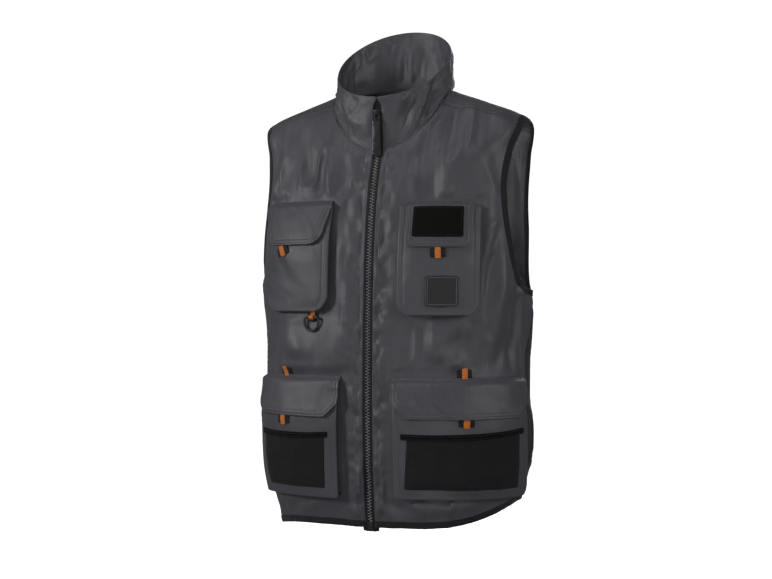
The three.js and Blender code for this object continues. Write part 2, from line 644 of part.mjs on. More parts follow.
// Bindings: a flat tube folded over the edge
const BINDING_HALF = BINDING_THICKNESS / 2;
function bandRing(low, high) {
  return [skin(low, BINDING_HALF), skin(low, -BINDING_HALF), skin(high, -BINDING_HALF), skin(high, BINDING_HALF)];
}
function armholeBinding(side) {
  const turns = [
    ...run((q) => q, -ARMHOLE_SIDE_TURN, ARMHOLE_SEAM_TURN, ARMHOLE_CELLS).slice(0, -1),
    ...run((q) => q, ARMHOLE_SEAM_TURN, ARMHOLE_STRAP_TURN, STRAP_CELLS).slice(0, -1),
    ...run((q) => q, ARMHOLE_STRAP_TURN, ARMHOLE_SIDE_TURN, ARMHOLE_CELLS).slice(0, -1),
    ...run((q) => q, ARMHOLE_SIDE_TURN, 2 - ARMHOLE_SIDE_TURN, SIDE_CELLS).slice(0, -1),
  ];
  const rings = turns.map((q) => {
    const [low, high] = [armhole(q), armhole(q, BINDING_WIDTH)].map(([a, z]) => [side * a, z]);
    return bandRing(low, high);
  });
  return closedTube(side > 0 ? rings : rings.reverse());
}
add('armhole_binding_left', armholeBinding(1), BINDING);
add('armhole_binding_right', armholeBinding(-1), BINDING);

// The hem's binding in four lengths, joined under each arm and at the middle of the back
const HEM_CELLS = 14; // in each length
const HEM_JOIN_ANGLE = 94.5; // degrees
const hemStart = angleAt(FRONT_EDGE, HEM_Z);
function hemBinding(from, to) {
  const places = run((a) => a, from, to, HEM_CELLS).map((a) => (a > 180 ? a - 360 : a));
  const grid = (offset) => [0, BINDING_WIDTH].map((up) => (
    places.map((angle) => skin(hemline(angle, up), offset))));
  return wall(grid(BINDING_HALF), grid(-BINDING_HALF));
}
for (const [word, from, to] of [
  ['front_left', hemStart, HEM_JOIN_ANGLE - SEAM_ANGLE],
  ['back_left', HEM_JOIN_ANGLE + SEAM_ANGLE, 180 - SEAM_ANGLE],
  ['back_right', 180 + SEAM_ANGLE, 360 - HEM_JOIN_ANGLE - SEAM_ANGLE],
  ['front_right', 360 - HEM_JOIN_ANGLE + SEAM_ANGLE, 360 - hemStart],
]) add(`hem_binding_${word}`, hemBinding(from, to), BINDING);

// Stand collar: from the neckline to a tilted ring, open at the zip
const COLLAR_ROWS = 5;
const COLLAR_CELLS = 30;
const COLLAR_MEET = 1.2; // half of the gap between the collar's edges at the top
const COLLAR_NARROWS = 0.8; // share of the collar's height where its edges draw together
const COLLAR_SLOPE = (COLLAR_BACK_TOP - COLLAR_FRONT_TOP) / (2 * COLLAR_HALF_DEPTH);
const COLLAR_LEVEL = (COLLAR_BACK_TOP + COLLAR_FRONT_TOP) / 2;

// The angle round the body whose neckline point lies in a direction from the collar's centre
function neckAngle(direction) {
  let low = 0;
  let high = 180;
  const goal = Math.abs(direction);
  for (let k = 0; k < 40; k += 1) {
    const middle = (low + high) / 2;
    const p = torso(...neckline(middle, COLLAR_GAP));
    if (Math.atan2(p.x, COLLAR_CENTRE - p.y) / RAD < goal) low = middle;
    else high = middle;
  }
  return Math.sign(direction || 1) * (low + high) / 2;
}
function collarMiddle(direction, up) {
  const base = torso(...neckline(Math.abs(neckAngle(direction)), COLLAR_GAP));
  base.x *= Math.sign(direction || 1);
  const y = COLLAR_CENTRE - COLLAR_HALF_DEPTH * Math.cos(direction * RAD);
  const top = new THREE.Vector3(
    COLLAR_HALF_WIDTH * Math.sin(direction * RAD),
    y,
    COLLAR_LEVEL + COLLAR_SLOPE * (y - COLLAR_CENTRE),
  );
  const out = new THREE.Vector3(Math.sin(direction * RAD), -Math.cos(direction * RAD), 0);
  const high = COLLAR_FOLDS.reduce((total, f) => {
    const turn = ((direction - f.angle - f.lean * up + 540) % 360) - 180;
    return total + f.high * Math.exp(-((turn / f.wide) ** 2));
  }, 0);
  return base.lerp(top, up).addScaledVector(out, FOLD_HEIGHT * high * Math.sin(Math.PI * (0.08 + 0.8 * up)));
}
function collarPoint(direction, up, offset) {
  const across = collarMiddle(direction + 1, up).sub(collarMiddle(direction - 1, up));
  const upward = collarMiddle(direction, up + 0.02).sub(collarMiddle(direction, up - 0.02));
  return collarMiddle(direction, up).addScaledVector(across.cross(upward).normalize(), offset);
}
// The direction of the collar's point at a distance across from the zip
const collarDirection = (x, up) => Math.atan2(x, COLLAR_CENTRE - collarMiddle(0, up).y) / RAD;
function collarGrid(offset) {
  return range(COLLAR_ROWS).map((up) => {
    const half = FRONT_EDGE + (COLLAR_MEET - FRONT_EDGE) * ease((up - COLLAR_NARROWS) / (1 - COLLAR_NARROWS));
    const edge = collarDirection(half, up);
    return run((a) => a, edge, 360 - edge, COLLAR_CELLS)
      .map((a) => collarPoint(a > 180 ? a - 360 : a, up, offset));
  });
}
add('collar', wall(collarGrid(COLLAR_CLOTH / 2), collarGrid(-COLLAR_CLOTH / 2)), RIPSTOP);

// Zip: a strip follows the front from the hem to a height on the collar
const ZIP_COLLAR_ROWS = 4;
const collarFoot = collarMiddle(0, 0).z;
const collarShare = (z) => (z - collarFoot) / (COLLAR_FRONT_TOP - collarFoot);
function zipStrip(from, to, thickness, foot, topZ) {
  const edgeHeights = frontLeft.map((row) => row[0][1]).filter((z, k) => z > foot && k % 2 === 0);
  const grid = (offset) => [
    ...[foot, ...edgeHeights].map((z) => [onCloth(from, z, offset), onCloth(to, z, offset)]),
    ...range(ZIP_COLLAR_ROWS).slice(1).map((t) => t * collarShare(topZ))
      .map((up) => [from, to].map((x) => collarPoint(collarDirection(x, up), up, offset))),
  ];
  return wall(grid(thickness / 2), grid(-thickness / 2));
}
const chainTop = -ZIP_TOP - SLIDER_LENGTH / 2;
const boxTop = HEM_Z - TAPE_END + BOX_LENGTH;
const teethInner = SEAM_GAP / 2;
const teethOuter = TEETH_WIDTH / 2;
for (const [side, word] of [[1, 'left'], [-1, 'right']]) {
  const span = (a, b) => [side * a, side * b].sort((p, q) => p - q);
  add(`zip_teeth_${word}`, zipStrip(...span(teethInner, teethOuter), TEETH_THICKNESS,
    boxTop + REST_GAP, chainTop), MOULDED);
  add(`zip_tape_${word}`, zipStrip(...span(teethOuter + REST_GAP, FRONT_EDGE - REST_GAP), TAPE_THICKNESS,
    HEM_Z - TAPE_END, -ZIP_TOP), WEBBING);
}

// A box given by its centre and its size
const block = (x, y, z, w, d, h) => new THREE.BoxGeometry(w, d, h).translate(x, y, z);

const boxAt = onCloth(0, boxTop - BOX_LENGTH / 2, 0);
add('zip_end_box', block(0, boxAt.y, boxAt.z, TEETH_WIDTH, BOX_THICKNESS, BOX_LENGTH), MOULDED);

// Slider: two plates with a post above the chain, and a bridge for the pull. Its frame leans with
// the collar: x across, y out of the front, z along the zip.
const sliderPoint = collarMiddle(0, collarShare(-ZIP_TOP - SLIDER_LENGTH / 2));
const sliderUp = collarMiddle(0, collarShare(-ZIP_TOP)).sub(sliderPoint).normalize();
const plateGap = TEETH_THICKNESS / 2 + REST_GAP;
const plateFace = plateGap + SLIDER_PLATE;
function sliderGeometry() {
  const plate = (face) => block(0, face * (plateGap + SLIDER_PLATE / 2), 0, SLIDER_WIDTH, SLIDER_PLATE, SLIDER_LENGTH);
  const post = block(0, 0, REST_GAP + SLIDER_WEB / 2, SLIDER_WEB, 2 * plateFace - SLIDER_PLATE, SLIDER_WEB);
  const leg = (end) => block(0, -plateFace - BRIDGE_RISE / 2 + SLIDER_PLATE / 4,
    end * (BRIDGE_LENGTH - BRIDGE_WALL) / 2, BRIDGE_WIDTH, BRIDGE_RISE + SLIDER_PLATE / 2, BRIDGE_WALL);
  const bar = block(0, -plateFace - BRIDGE_RISE + BRIDGE_WALL / 2, 0, BRIDGE_WIDTH, BRIDGE_WALL, BRIDGE_LENGTH);
  return joined(plate(1), plate(-1), post, leg(1), leg(-1), bar);
}
const slider = add('zip_slider', sliderGeometry(), MOULDED);
slider.position.copy(sliderPoint);
slider.rotation.x = Math.atan2(-sliderUp.y, sliderUp.z);

// A wire ring in the plane x, z from a path of [x, z]
function wireRing(path, wire, sides) {
  const n = path.length;
  const rings = path.map(([x, z], k) => {
    const [px, pz] = path[(k + n - 1) % n];
    const [nx, nz] = path[(k + 1) % n];
    const a = new THREE.Vector2(x - px, z - pz).normalize();
    const b = new THREE.Vector2(nx - x, nz - z).normalize();
    const out = new THREE.Vector2(a.y + b.y, -a.x - b.x).normalize();
    const reach = wire / 2 / Math.max(out.dot(new THREE.Vector2(a.y, -a.x)), 0.5);
    return range(sides).slice(0, -1).map((t) => {
      const turn = 2 * Math.PI * t;
      return new THREE.Vector3(
        x + out.x * reach * Math.cos(turn),
        (wire / 2) * Math.sin(turn),
        z + out.y * reach * Math.cos(turn),
      );
    });
  });
  return closedTube(rings);
}
const arc = (cx, cz, r, from, to, cells) => range(cells)
  .map((t) => (from + t * (to - from)) * RAD)
  .map((a) => [cx + r * Math.cos(a), cz + r * Math.sin(a)]);

// Pull: its link hangs on the bridge's lower leg and passes through the eye of the pull
const barBelow = -BRIDGE_LENGTH / 2 + BRIDGE_WALL + LINK_CLEARANCE + LINK_WIRE / 2;
const barOut = plateFace + (BRIDGE_RISE - BRIDGE_WALL) / 2;
const pullHinge = sliderPoint.clone().addScaledVector(sliderUp, barBelow)
  .add(new THREE.Vector3(0, -sliderUp.z, sliderUp.y).multiplyScalar(barOut));
// It hangs plumb unless the chain's face under it pushes its foot out
const PULL_STATIONS = 8;
const chainFace = (z, offset) => (z > collarFoot ? collarPoint(0, collarShare(z), offset) : onCloth(0, z, offset));
const pullLean = Math.max(0, ...range(PULL_STATIONS).slice(1).map((t) => {
  const z = pullHinge.z - t * (LINK_LENGTH + PULL_LENGTH);
  const face = chainFace(z, (TEETH_THICKNESS + PULL_THICKNESS) / 2 + REST_GAP);
  return Math.atan2(pullHinge.y - face.y, pullHinge.z - face.z);
}));
function linkPath() {
  const x = (LINK_WIDTH - LINK_WIRE) / 2;
  const drop = LINK_LENGTH - LINK_WIRE;
  const r = LINK_WIRE * 0.8;
  return [
    ...arc(x - r, -r, r, 90, 0, 2),
    ...arc(x - r, -drop + r, r, 0, -90, 2),
    ...arc(-x + r, -drop + r, r, -90, -180, 2),
    ...arc(-x + r, -r, r, 180, 90, 2),
  ];
}
function pullGeometry() {
  const hole = LINK_WIRE / 2 + LINK_CLEARANCE;
  const drop = LINK_LENGTH - LINK_WIRE;
  const ring = new THREE.Shape().absarc(0, 0, hole + PULL_EYE_WALL, 0, 2 * Math.PI);
  ring.holes.push(new THREE.Path().absarc(0, 0, hole, 0, 2 * Math.PI, true));
  const eyeWidth = LINK_WIDTH - 2 * LINK_WIRE - 2 * LINK_CLEARANCE;
  const eye = new THREE.ExtrudeGeometry(ring, { depth: eyeWidth, bevelEnabled: false, curveSegments: 8 })
    .translate(0, 0, -eyeWidth / 2).rotateY(Math.PI / 2).translate(0, 0, -drop);
  const r = PULL_WIDTH * 0.16;
  const x = PULL_WIDTH / 2 - r;
  const top = -drop - hole;
  const outline = [
    ...arc(x, top - r, r, 90, 0, 3),
    ...arc(x, top - PULL_LENGTH + r, r, 0, -90, 3),
    ...arc(-x, top - PULL_LENGTH + r, r, -90, -180, 3),
    ...arc(-x, top - r, r, 180, 90, 3),
  ];
  const shape = new THREE.Shape(outline.map(([px, pz]) => new THREE.Vector2(px, pz)));
  const body = new THREE.ExtrudeGeometry(shape, { depth: PULL_THICKNESS, bevelEnabled: false })
    .rotateX(Math.PI / 2).translate(0, PULL_THICKNESS / 2, 0);
  return joined(eye, body);
}
for (const [name, geometry] of [
  ['zip_pull_link', wireRing(linkPath(), LINK_WIRE, 8)],
  ['zip_pull_tab', pullGeometry()],
]) {
  const mesh = add(name, geometry, MOULDED);
  mesh.position.copy(pullHinge);
  mesh.rotation.x = -pullLean;
}

// Pockets
const middle = (p) => p.side * p.across;
const mouth = (p) => -p.top - FLAP_RISE;

// Height of the bag's front over the middle of the cloth
function bagHeight(p, across, z) {
  const x = Math.min(Math.abs(across - middle(p)) / (p.width / 2), 1);
  const y = Math.min(Math.max((mouth(p) - z) / (mouth(p) + p.bottom), 0), 1);
  const opening = MOUTH_SHARE + (1 - MOUTH_SHARE) * ease(y / 0.35);
  return ON_CLOTH + BAG_CLOTH + (p.depth - BAG_CLOTH) * opening
    + p.belly * (1 - x * x) * Math.sin(Math.PI * Math.sqrt(y));
}

// The rows of a rounded or cut corner: how far up each lies, and how much narrower it is
const cornerRows = (radius, cut) => (cut ? [0, 90] : [0, 30, 60, 90]).map((a) => ({
  up: radius * (1 - Math.cos(a * RAD)),
  inset: radius * (1 - Math.sin(a * RAD)),
}));
function widthLoss(radius, cut, up) {
  if (up >= radius) return 0;
  return cut ? radius - up : radius - Math.sqrt(radius * radius - (radius - up) ** 2);
}

const BAG_ROWS = 5;
const BAG_COLUMN_WIDTH = 22;
const COLUMN_MARGIN = 2; // from a plate's edge to its next column
// Columns of a bag between its gussets, from its middle; what lies over it shares them
function bagColumns(p) {
  const cells = Math.round(p.width / BAG_COLUMN_WIDTH);
  return range(cells).map((t) => (2 * t - 1) * (p.width / 2 - GUSSET_ROUND));
}
function bagGrid(p, inset) {
  const half = p.width / 2 - inset;
  const bottom = -p.bottom + inset;
  const radius = Math.max(p.corner - inset, 1);
  const steps = [0, GUSSET_LEAN, GUSSET_ROUND];
  const shares = [0, 0.72, 1];
  const ups = [...steps, ...cornerRows(radius, false).map((r) => r.up).filter((up) => up > GUSSET_ROUND + 2)];
  const tallest = mouth(p) - bottom;
  const above = range(BAG_ROWS).slice(1).map((t) => ups[ups.length - 1] + t * (tallest - ups[ups.length - 1]));
  return [...ups, ...above].map((up, j) => {
    const reach = half - widthLoss(radius, false, up);
    const left = steps.map((d) => -reach + d);
    const inner = bagColumns(p).slice(1, -1).map((x) => x * (reach / half));
    const right = steps.map((d) => reach - d).reverse();
    const columns = [...left, ...inner, ...right];
    return columns.map((x, i) => {
      const side = Math.min(i, columns.length - 1 - i);
      const share = Math.min(shares[Math.min(side, 2)], shares[Math.min(j, 2)]);
      const across = middle(p) + x;
      const z = bottom + up;
      const full = bagHeight(p, across, z) - inset;
      return onCloth(across, z, ON_CLOTH + share * (full - ON_CLOTH));
    });
  });
}

const FLAP_ROWS = 4;
function flapGrid(p, offset) {
  const corner = cornerRows(p.flapCorner, p.chamfer);
  const first = corner[corner.length - 1].up;
  const last = p.flapLength - FLAP_RISE;
  const rows = [
    ...corner,
    ...range(FLAP_ROWS).slice(1).map((t) => ({ up: first + t * (last - first), inset: 0 })),
    { up: p.flapLength - FLAP_RISE / 2, inset: 0 },
    { up: p.flapLength, inset: 0 },
  ];
  return rows.map(({ up, inset }) => {
    const half = p.flapWidth / 2 - inset - p.flapTaper * (1 - up / p.flapLength);
    const z = -p.top - p.flapLength + up;
    const narrow = Math.min(1, (2 * half) / p.width);
    return [-half, ...bagColumns(p).map((x) => x * narrow), half].map((x) => {
      const across = middle(p) + x;
      return onCloth(across, z, flapHeight(p, across, z) + offset);
    });
  });
}
// Height of the flap's inner face over the middle of the cloth
function flapHeight(p, across, z) {
  const over = bagHeight(p, across, z) + FLAP_GAP;
  return ON_CLOTH + (over - ON_CLOTH) * ease((-p.top - z) / FLAP_RISE);
}

// A thin plate lying on a surface round a centre; columns are places across it, from the centre
function plate(height, across, z, columns, tall, thickness, rows = 1) {
  const grid = (offset) => range(rows).map((v) => columns.map((x) => {
    const a = across + x;
    const b = z + (v - 0.5) * tall;
    return onCloth(a, b, height(a, b) + offset);
  }));
  return wall(grid(thickness), grid(0));
}
// Its columns where it lies over a pocket, shared with the bag
function overColumns(p, shift, width) {
  const inside = bagColumns(p).map((x) => x - shift).filter((x) => Math.abs(x) < width / 2 - COLUMN_MARGIN);
  return [-width / 2, ...inside, width / 2];
}
const ends = (width) => [-width / 2, width / 2];

for (const p of POCKETS) {
  add(`${p.name}_bag`, wall(bagGrid(p, 0), bagGrid(p, BAG_CLOTH)), RIPSTOP);
  add(`${p.name}_flap`, wall(flapGrid(p, FLAP_CLOTH), flapGrid(p, 0)), RIPSTOP);
}

const onBag = (p) => (across, z) => bagHeight(p, across, z) + LAYER_GAP;
const onFlap = (p) => (across, z) => flapHeight(p, across, z) + FLAP_CLOTH + LAYER_GAP;
const onBody = () => ON_CLOTH;

// Stretch mesh pockets with an elastic trim on the lower bags
for (const p of [LOWER_LEFT, LOWER_RIGHT]) {
  const width = p.width - 2 * MESH_BORDER;
  const trimWidth = width + 2 * TRIM_OVERRUN;
  const meshMiddle = -p.bottom + MESH_FOOT + MESH_HEIGHT / 2;
  const trimMiddle = meshMiddle + (MESH_HEIGHT + TRIM_HEIGHT) / 2 + REST_GAP;
  add(`${p.name}_mesh`, plate(onBag(p), middle(p), meshMiddle, overColumns(p, 0, width), MESH_HEIGHT,
    MESH_CLOTH, 4), KNIT_MESH);
  add(`${p.name}_trim`, plate(onBag(p), middle(p), trimMiddle, overColumns(p, 0, trimWidth), TRIM_HEIGHT,
    TRIM_THICKNESS), WEBBING);
}

// Hook-and-loop panel and badge on the left chest pocket
const hookMiddle = -CHEST_LEFT.top - HOOK_BELOW_SEAM - HOOK_HEIGHT / 2;
add('hook_patch', plate(onFlap(CHEST_LEFT), middle(CHEST_LEFT), hookMiddle,
  overColumns(CHEST_LEFT, 0, HOOK_WIDTH), HOOK_HEIGHT, HOOK_THICKNESS, 3), HOOK);
const badgeMiddle = -CHEST_LEFT.bottom + BADGE_ABOVE_BOTTOM + BADGE_HEIGHT / 2;
add('badge_patch', plate(onBag(CHEST_LEFT), middle(CHEST_LEFT) + BADGE_SHIFT, badgeMiddle,
  overColumns(CHEST_LEFT, BADGE_SHIFT, BADGE_WIDTH), BADGE_HEIGHT, BADGE_THICKNESS, 3), BADGE);

// Webbing tabs with an orange strip, above and below the flaps
const TABS = [
  { name: 'chest_left_tab', pocket: CHEST_LEFT, shift: 0, above: false },
  { name: 'chest_right_tab', pocket: CHEST_RIGHT, shift: -16, above: false },
  { name: 'lower_left_top_tab', pocket: LOWER_LEFT, shift: 2, above: true },
  { name: 'lower_left_tab', pocket: LOWER_LEFT, shift: 5, above: false },
  { name: 'lower_right_top_tab', pocket: LOWER_RIGHT, shift: -24, above: true },
  { name: 'lower_right_tab', pocket: LOWER_RIGHT, shift: -21, above: false },
];
for (const { name, pocket, shift, above } of TABS) {
  const across = middle(pocket) + shift;
  const reach = REST_GAP + STRIP_HEIGHT / 2;
  const z = above ? -pocket.top + reach : -pocket.top - pocket.flapLength - reach;
  const under = above ? onBody : onBag(pocket);
  const over = (a, b) => under(a, b) + TAB_THICKNESS + REST_GAP;
  add(`${name}_webbing`, plate(under, across, z, ends(TAB_WIDTH), TAB_HEIGHT, TAB_THICKNESS), WEBBING);
  add(`${name}_strip`, plate(over, across, z, ends(STRIP_WIDTH), STRIP_HEIGHT, STRIP_THICKNESS), ORANGE);
}

// D-ring under the right chest pocket: it swings in the eye of an orange loop on a webbing tab.
// Their frame: x along the ring's bar, y out of the front, z up.
const ringZ = -CHEST_RIGHT.bottom - RING_BELOW_POCKET;
const ringAngle = angleAt(-RING_ACROSS, ringZ);
const ringOut = torsoNormal(ringAngle, ringZ).setZ(0).normalize();
const ringTurn = Math.atan2(ringOut.x, -ringOut.y);
const eyeInner = RING_WIRE / 2 + RING_CLEARANCE;
const eyeOuter = eyeInner + RING_LOOP_WALL;
const tabFace = ON_CLOTH + TAB_THICKNESS;
const ringCentre = torso(ringAngle, ringZ).addScaledVector(ringOut, tabFace + REST_GAP + eyeOuter);
function loopGeometry() {
  const ring = new THREE.Shape().absarc(0, 0, eyeOuter, 0, 2 * Math.PI);
  ring.holes.push(new THREE.Path().absarc(0, 0, eyeInner, 0, 2 * Math.PI, true));
  const eye = new THREE.ExtrudeGeometry(ring, { depth: RING_LOOP_WIDTH, bevelEnabled: false, curveSegments: 10 })
    .translate(0, 0, -RING_LOOP_WIDTH / 2).rotateY(Math.PI / 2);
  const tall = RING_BELOW_POCKET - REST_GAP;
  const strap = block(0, eyeOuter - RING_LOOP_WALL / 2, tall / 2, RING_LOOP_WIDTH, RING_LOOP_WALL, tall);
  return joined(eye, strap);
}
function ringPath() {
  const x = (RING_WIDTH - RING_WIRE) / 2;
  const drop = RING_DROP - RING_WIRE;
  const r = RING_WIRE * 0.9;
  const bow = range(8).slice(1, -1).map((t) => Math.PI * t)
    .map((a) => [x * Math.cos(a), -r - (drop - r) * Math.sin(a)]);
  return [
    ...arc(x - r, -r, r, 90, 0, 3),
    ...bow,
    ...arc(-x + r, -r, r, 180, 90, 3),
  ];
}
add('d_ring_webbing', plate(onBody, -RING_ACROSS, ringZ, ends(TAB_WIDTH), TAB_HEIGHT, TAB_THICKNESS), WEBBING);
for (const [name, geometry, material] of [
  ['d_ring_loop', loopGeometry(), ORANGE],
  ['d_ring', wireRing(ringPath(), RING_WIRE, 8), MOULDED],
]) {
  const mesh = add(name, geometry, material);
  mesh.position.copy(ringCentre);
  mesh.rotation.z = ringTurn;
}

export default vest;
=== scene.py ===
"""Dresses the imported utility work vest: cloth panels, bindings, collar, zip, pockets and fittings.

Lengths are millimetres until a mesh is written, and then metres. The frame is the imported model's:
+Z up, the front faces -Y, the wearer's left is +X. Cloth shapes are worked out as whole numpy arrays
from places on the body, each an angle round it from the zip and a height.
"""

from __future__ import annotations

import logging
import math
from dataclasses import dataclass
from enum import Enum
from typing import Callable, NamedTuple, Sequence

import bpy
import numpy as np
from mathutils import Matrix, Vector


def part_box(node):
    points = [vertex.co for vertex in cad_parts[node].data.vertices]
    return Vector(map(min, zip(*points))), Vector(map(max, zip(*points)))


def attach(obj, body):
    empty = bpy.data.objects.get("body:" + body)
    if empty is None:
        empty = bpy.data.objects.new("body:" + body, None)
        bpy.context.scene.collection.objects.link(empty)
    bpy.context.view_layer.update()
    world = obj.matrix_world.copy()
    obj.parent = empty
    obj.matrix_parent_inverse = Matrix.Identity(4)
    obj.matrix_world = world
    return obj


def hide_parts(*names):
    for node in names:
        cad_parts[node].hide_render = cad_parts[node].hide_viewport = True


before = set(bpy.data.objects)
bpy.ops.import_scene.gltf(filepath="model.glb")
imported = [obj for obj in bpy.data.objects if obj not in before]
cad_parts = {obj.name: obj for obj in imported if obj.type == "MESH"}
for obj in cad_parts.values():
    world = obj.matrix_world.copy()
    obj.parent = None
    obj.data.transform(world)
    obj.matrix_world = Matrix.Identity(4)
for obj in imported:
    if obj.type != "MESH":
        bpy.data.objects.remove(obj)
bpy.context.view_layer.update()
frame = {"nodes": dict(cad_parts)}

Array = np.ndarray
Pair = tuple[float, float]
Placer = Callable[[Array], Array]  # outline and height into points of the frame
Socket = bpy.types.NodeSocket
Inputs = dict[str | int, object]  # values or sockets of a node's inputs, by name or number
Places = tuple[Array, Array]  # angles round the body, or distances across, and heights
Surface = Callable[[Array, Array], Array]  # a height over the body cloth, by distance across and z
Line = Callable[..., Places]  # places along an edge
MM = 0.001
DEG = math.pi / 180.0
LOG = logging.getLogger("vest")


def pack(*parts: Array) -> Array:
    """Parts side by side along a new last axis, spread to one shape."""
    return np.stack(np.broadcast_arrays(*parts), axis=-1)


def ease(x: Array) -> Array:
    """Smooth step 3t² - 2t³ of x held between 0 and 1."""
    t = np.clip(x, 0.0, 1.0)
    return t * t * (3.0 - 2.0 * t)


def bell(x: Array, width: float) -> Array:
    """Bell curve exp(-(x / width)²)."""
    return np.exp(-((x / width) ** 2))


def length_of(v: Array) -> Array:
    """Length along the last axis, kept as an axis of one."""
    return np.linalg.norm(v, axis=-1, keepdims=True)


def unit(v: Array) -> Array:
    """Vectors of length one along the last axis."""
    return v / np.maximum(length_of(v), 1e-9)


def run_of(line: Array) -> Array:
    """Distance covered along a polyline at each of its points, from 0."""
    return np.concatenate([[0.0], np.cumsum(np.linalg.norm(np.diff(line, axis=0), axis=1))])


def steps(count: int) -> Array:
    """count + 1 even values from 0 to 1."""
    return np.linspace(0.0, 1.0, count + 1)


def wrap_angle(angle: Array) -> Array:
    """An angle in degrees, brought between -180 and 180."""
    return ((angle + 540.0) % 360.0) - 180.0


def sign_of(x: Array) -> Array:
    """-1 below 0, and 1 from 0 up."""
    return np.where(x < 0, -1.0, 1.0)


def floats(*values: Array) -> Sequence[Array]:
    """Values as float arrays of one shape."""
    return np.broadcast_arrays(*(np.asarray(v, float) for v in values))


def between(at: Array, keys: Array, rows: Array) -> Array:
    """Rows of a table at places between its keys, straight from one to the next."""
    return pack(*(np.interp(at, keys, column) for column in rows.T))


def evenly(path: Array, count: int) -> Array:
    """Points at even distances along a polyline, its two ends among them."""
    run = run_of(path)
    return between(np.linspace(0, run[-1], count), run, path)


def inward_of(outline: Array) -> Array:
    """Directions into a closed anticlockwise outline, square to its run at each point."""
    ahead = unit(np.roll(outline, -1, axis=0) - np.roll(outline, 1, axis=0))
    return pack(-ahead[:, 1], ahead[:, 0])


def edged(count: int, length: float, fine: Sequence[float] = (1.4, 3.2)) -> Array:
    """Values from 0 to 1, even but for some extra ones close to both ends.

    Args:
        count: how many even cells there are.
        length: the edge's rough length.
        fine: distances from each end that get a value of their own.

    Returns:
        The sorted values.
    """
    near = np.array(fine) / length
    inner = steps(count)[1:-1]
    inner = inner[(inner > near[-1] * 1.5) & (inner < 1 - near[-1] * 1.5)]
    return np.concatenate([[0.0], near, inner, 1 - near[::-1], [1.0]])


class Noise:
    """Smooth seeded noise on a plane: a lattice of random values blended between its corners."""

    SIZE = 97

    def __init__(self, seed: int) -> None:
        """Draws the lattice from a seeded generator."""
        self.values = np.random.default_rng(seed).uniform(-1.0, 1.0, (self.SIZE, self.SIZE))

    def at(self, u: Array, v: Array) -> Array:
        """Blends the four values round each point with the smooth step.

        Args:
            u: first coordinate, in lattice cells.
            v: second coordinate, in lattice cells.

        Returns:
            Values from -1 to 1.
        """
        i, j = np.floor(u).astype(int), np.floor(v).astype(int)
        s, t = ease(u - i), ease(v - j)
        n = self.SIZE
        a, b = self.values[i % n, j % n], self.values[(i + 1) % n, j % n]
        c, d = self.values[i % n, (j + 1) % n], self.values[(i + 1) % n, (j + 1) % n]
        return (a * (1 - s) + b * s) * (1 - t) + (c * (1 - s) + d * s) * t

    def cloud(self, u: Array, v: Array, octaves: int = 3) -> Array:
        """Sum of octaves, each twice as fine and half as strong as the last."""
        return sum(self.at(u * 2**k + 17.3 * k, v * 2**k + 5.1 * k) / 2**k for k in range(octaves))

    def creases(self, u: Array, v: Array) -> Array:
        """Ridged noise, 1 on thin winding ridges and falling to 0 between them."""
        bent = 0.35 * self.at(u * 0.7 + 31.0, v * 0.7 + 11.0)
        return (1.0 - np.abs(self.at(u + bent, v - bent))) ** 3


class Piece:
    """A mesh in the making: points in millimetres, faces of three or four corners, and flat coordinates."""

    def __init__(self) -> None:
        """Starts empty."""
        self.points: list[Array] = []
        self.flat: list[Array] = []
        self.faces: list[Array] = []
        self.count = 0

    def add(self, points: Array, faces: Sequence[Array], flat: Array | None = None) -> Piece:
        """Adds points and the faces over them.

        Args:
            points: an array of points.
            faces: arrays of corner numbers, counted from 0 in these points.
            flat: cloth coordinates of the points in millimetres, or None for x and z.

        Returns:
            The same piece.
        """
        points = np.asarray(points, float).reshape(-1, 3)
        flat = points[:, [0, 2]] if flat is None else np.asarray(flat, float).reshape(-1, 2)
        self.points.append(points)
        self.flat.append(flat)
        self.faces += [np.asarray(f, int) + self.count for f in faces if len(f)]
        self.count += len(points)
        return self

    def closed(self, points: Array, faces: Sequence[Array], flat: Array | None = None) -> Piece:
        """Adds a closed shape, its faces turned about if they point inwards.

        Args:
            points: its points.
            faces: arrays of corner numbers.
            flat: cloth coordinates, or None.

        Returns:
            The same piece.
        """
        points = np.asarray(points, float).reshape(-1, 3)
        middle = points - points.mean(axis=0)
        volume = 0.0
        for f in faces:
            for k in range(1, f.shape[1] - 1):
                a, b, c = middle[f[:, 0]], middle[f[:, k]], middle[f[:, k + 1]]
                volume += float((a * np.cross(b, c)).sum())
        turned = faces if volume > 0 else [f[:, ::-1] for f in faces]
        return self.add(points, turned, flat)

    def object(self, name: str, sharp: float | None = None) -> bpy.types.Object:
        """Writes the piece to a Blender object at the origin.

        Args:
            name: the object's name.
            sharp: angle in degrees past which an edge is shaded sharp, or None for all smooth.

        Returns:
            The object.
        """
        points, flat = np.concatenate(self.points), np.concatenate(self.flat)
        corners = [row for f in self.faces for row in f.tolist()]
        mesh = bpy.data.meshes.new(name)
        mesh.from_pydata((points * MM).tolist(), [], corners)
        layer = mesh.uv_layers.new(name="cloth")
        used = np.empty(len(mesh.loops), int)
        mesh.loops.foreach_get("vertex_index", used)
        layer.data.foreach_set("uv", (flat[used] * MM).ravel())
        mesh.polygons.foreach_set("use_smooth", np.ones(len(mesh.polygons), bool))
        if sharp is not None:
            mesh.set_sharp_from_angle(angle=sharp * DEG)
        mesh.update()
        made = bpy.data.objects.new(name, mesh)
        bpy.context.scene.collection.objects.link(made)
        return made


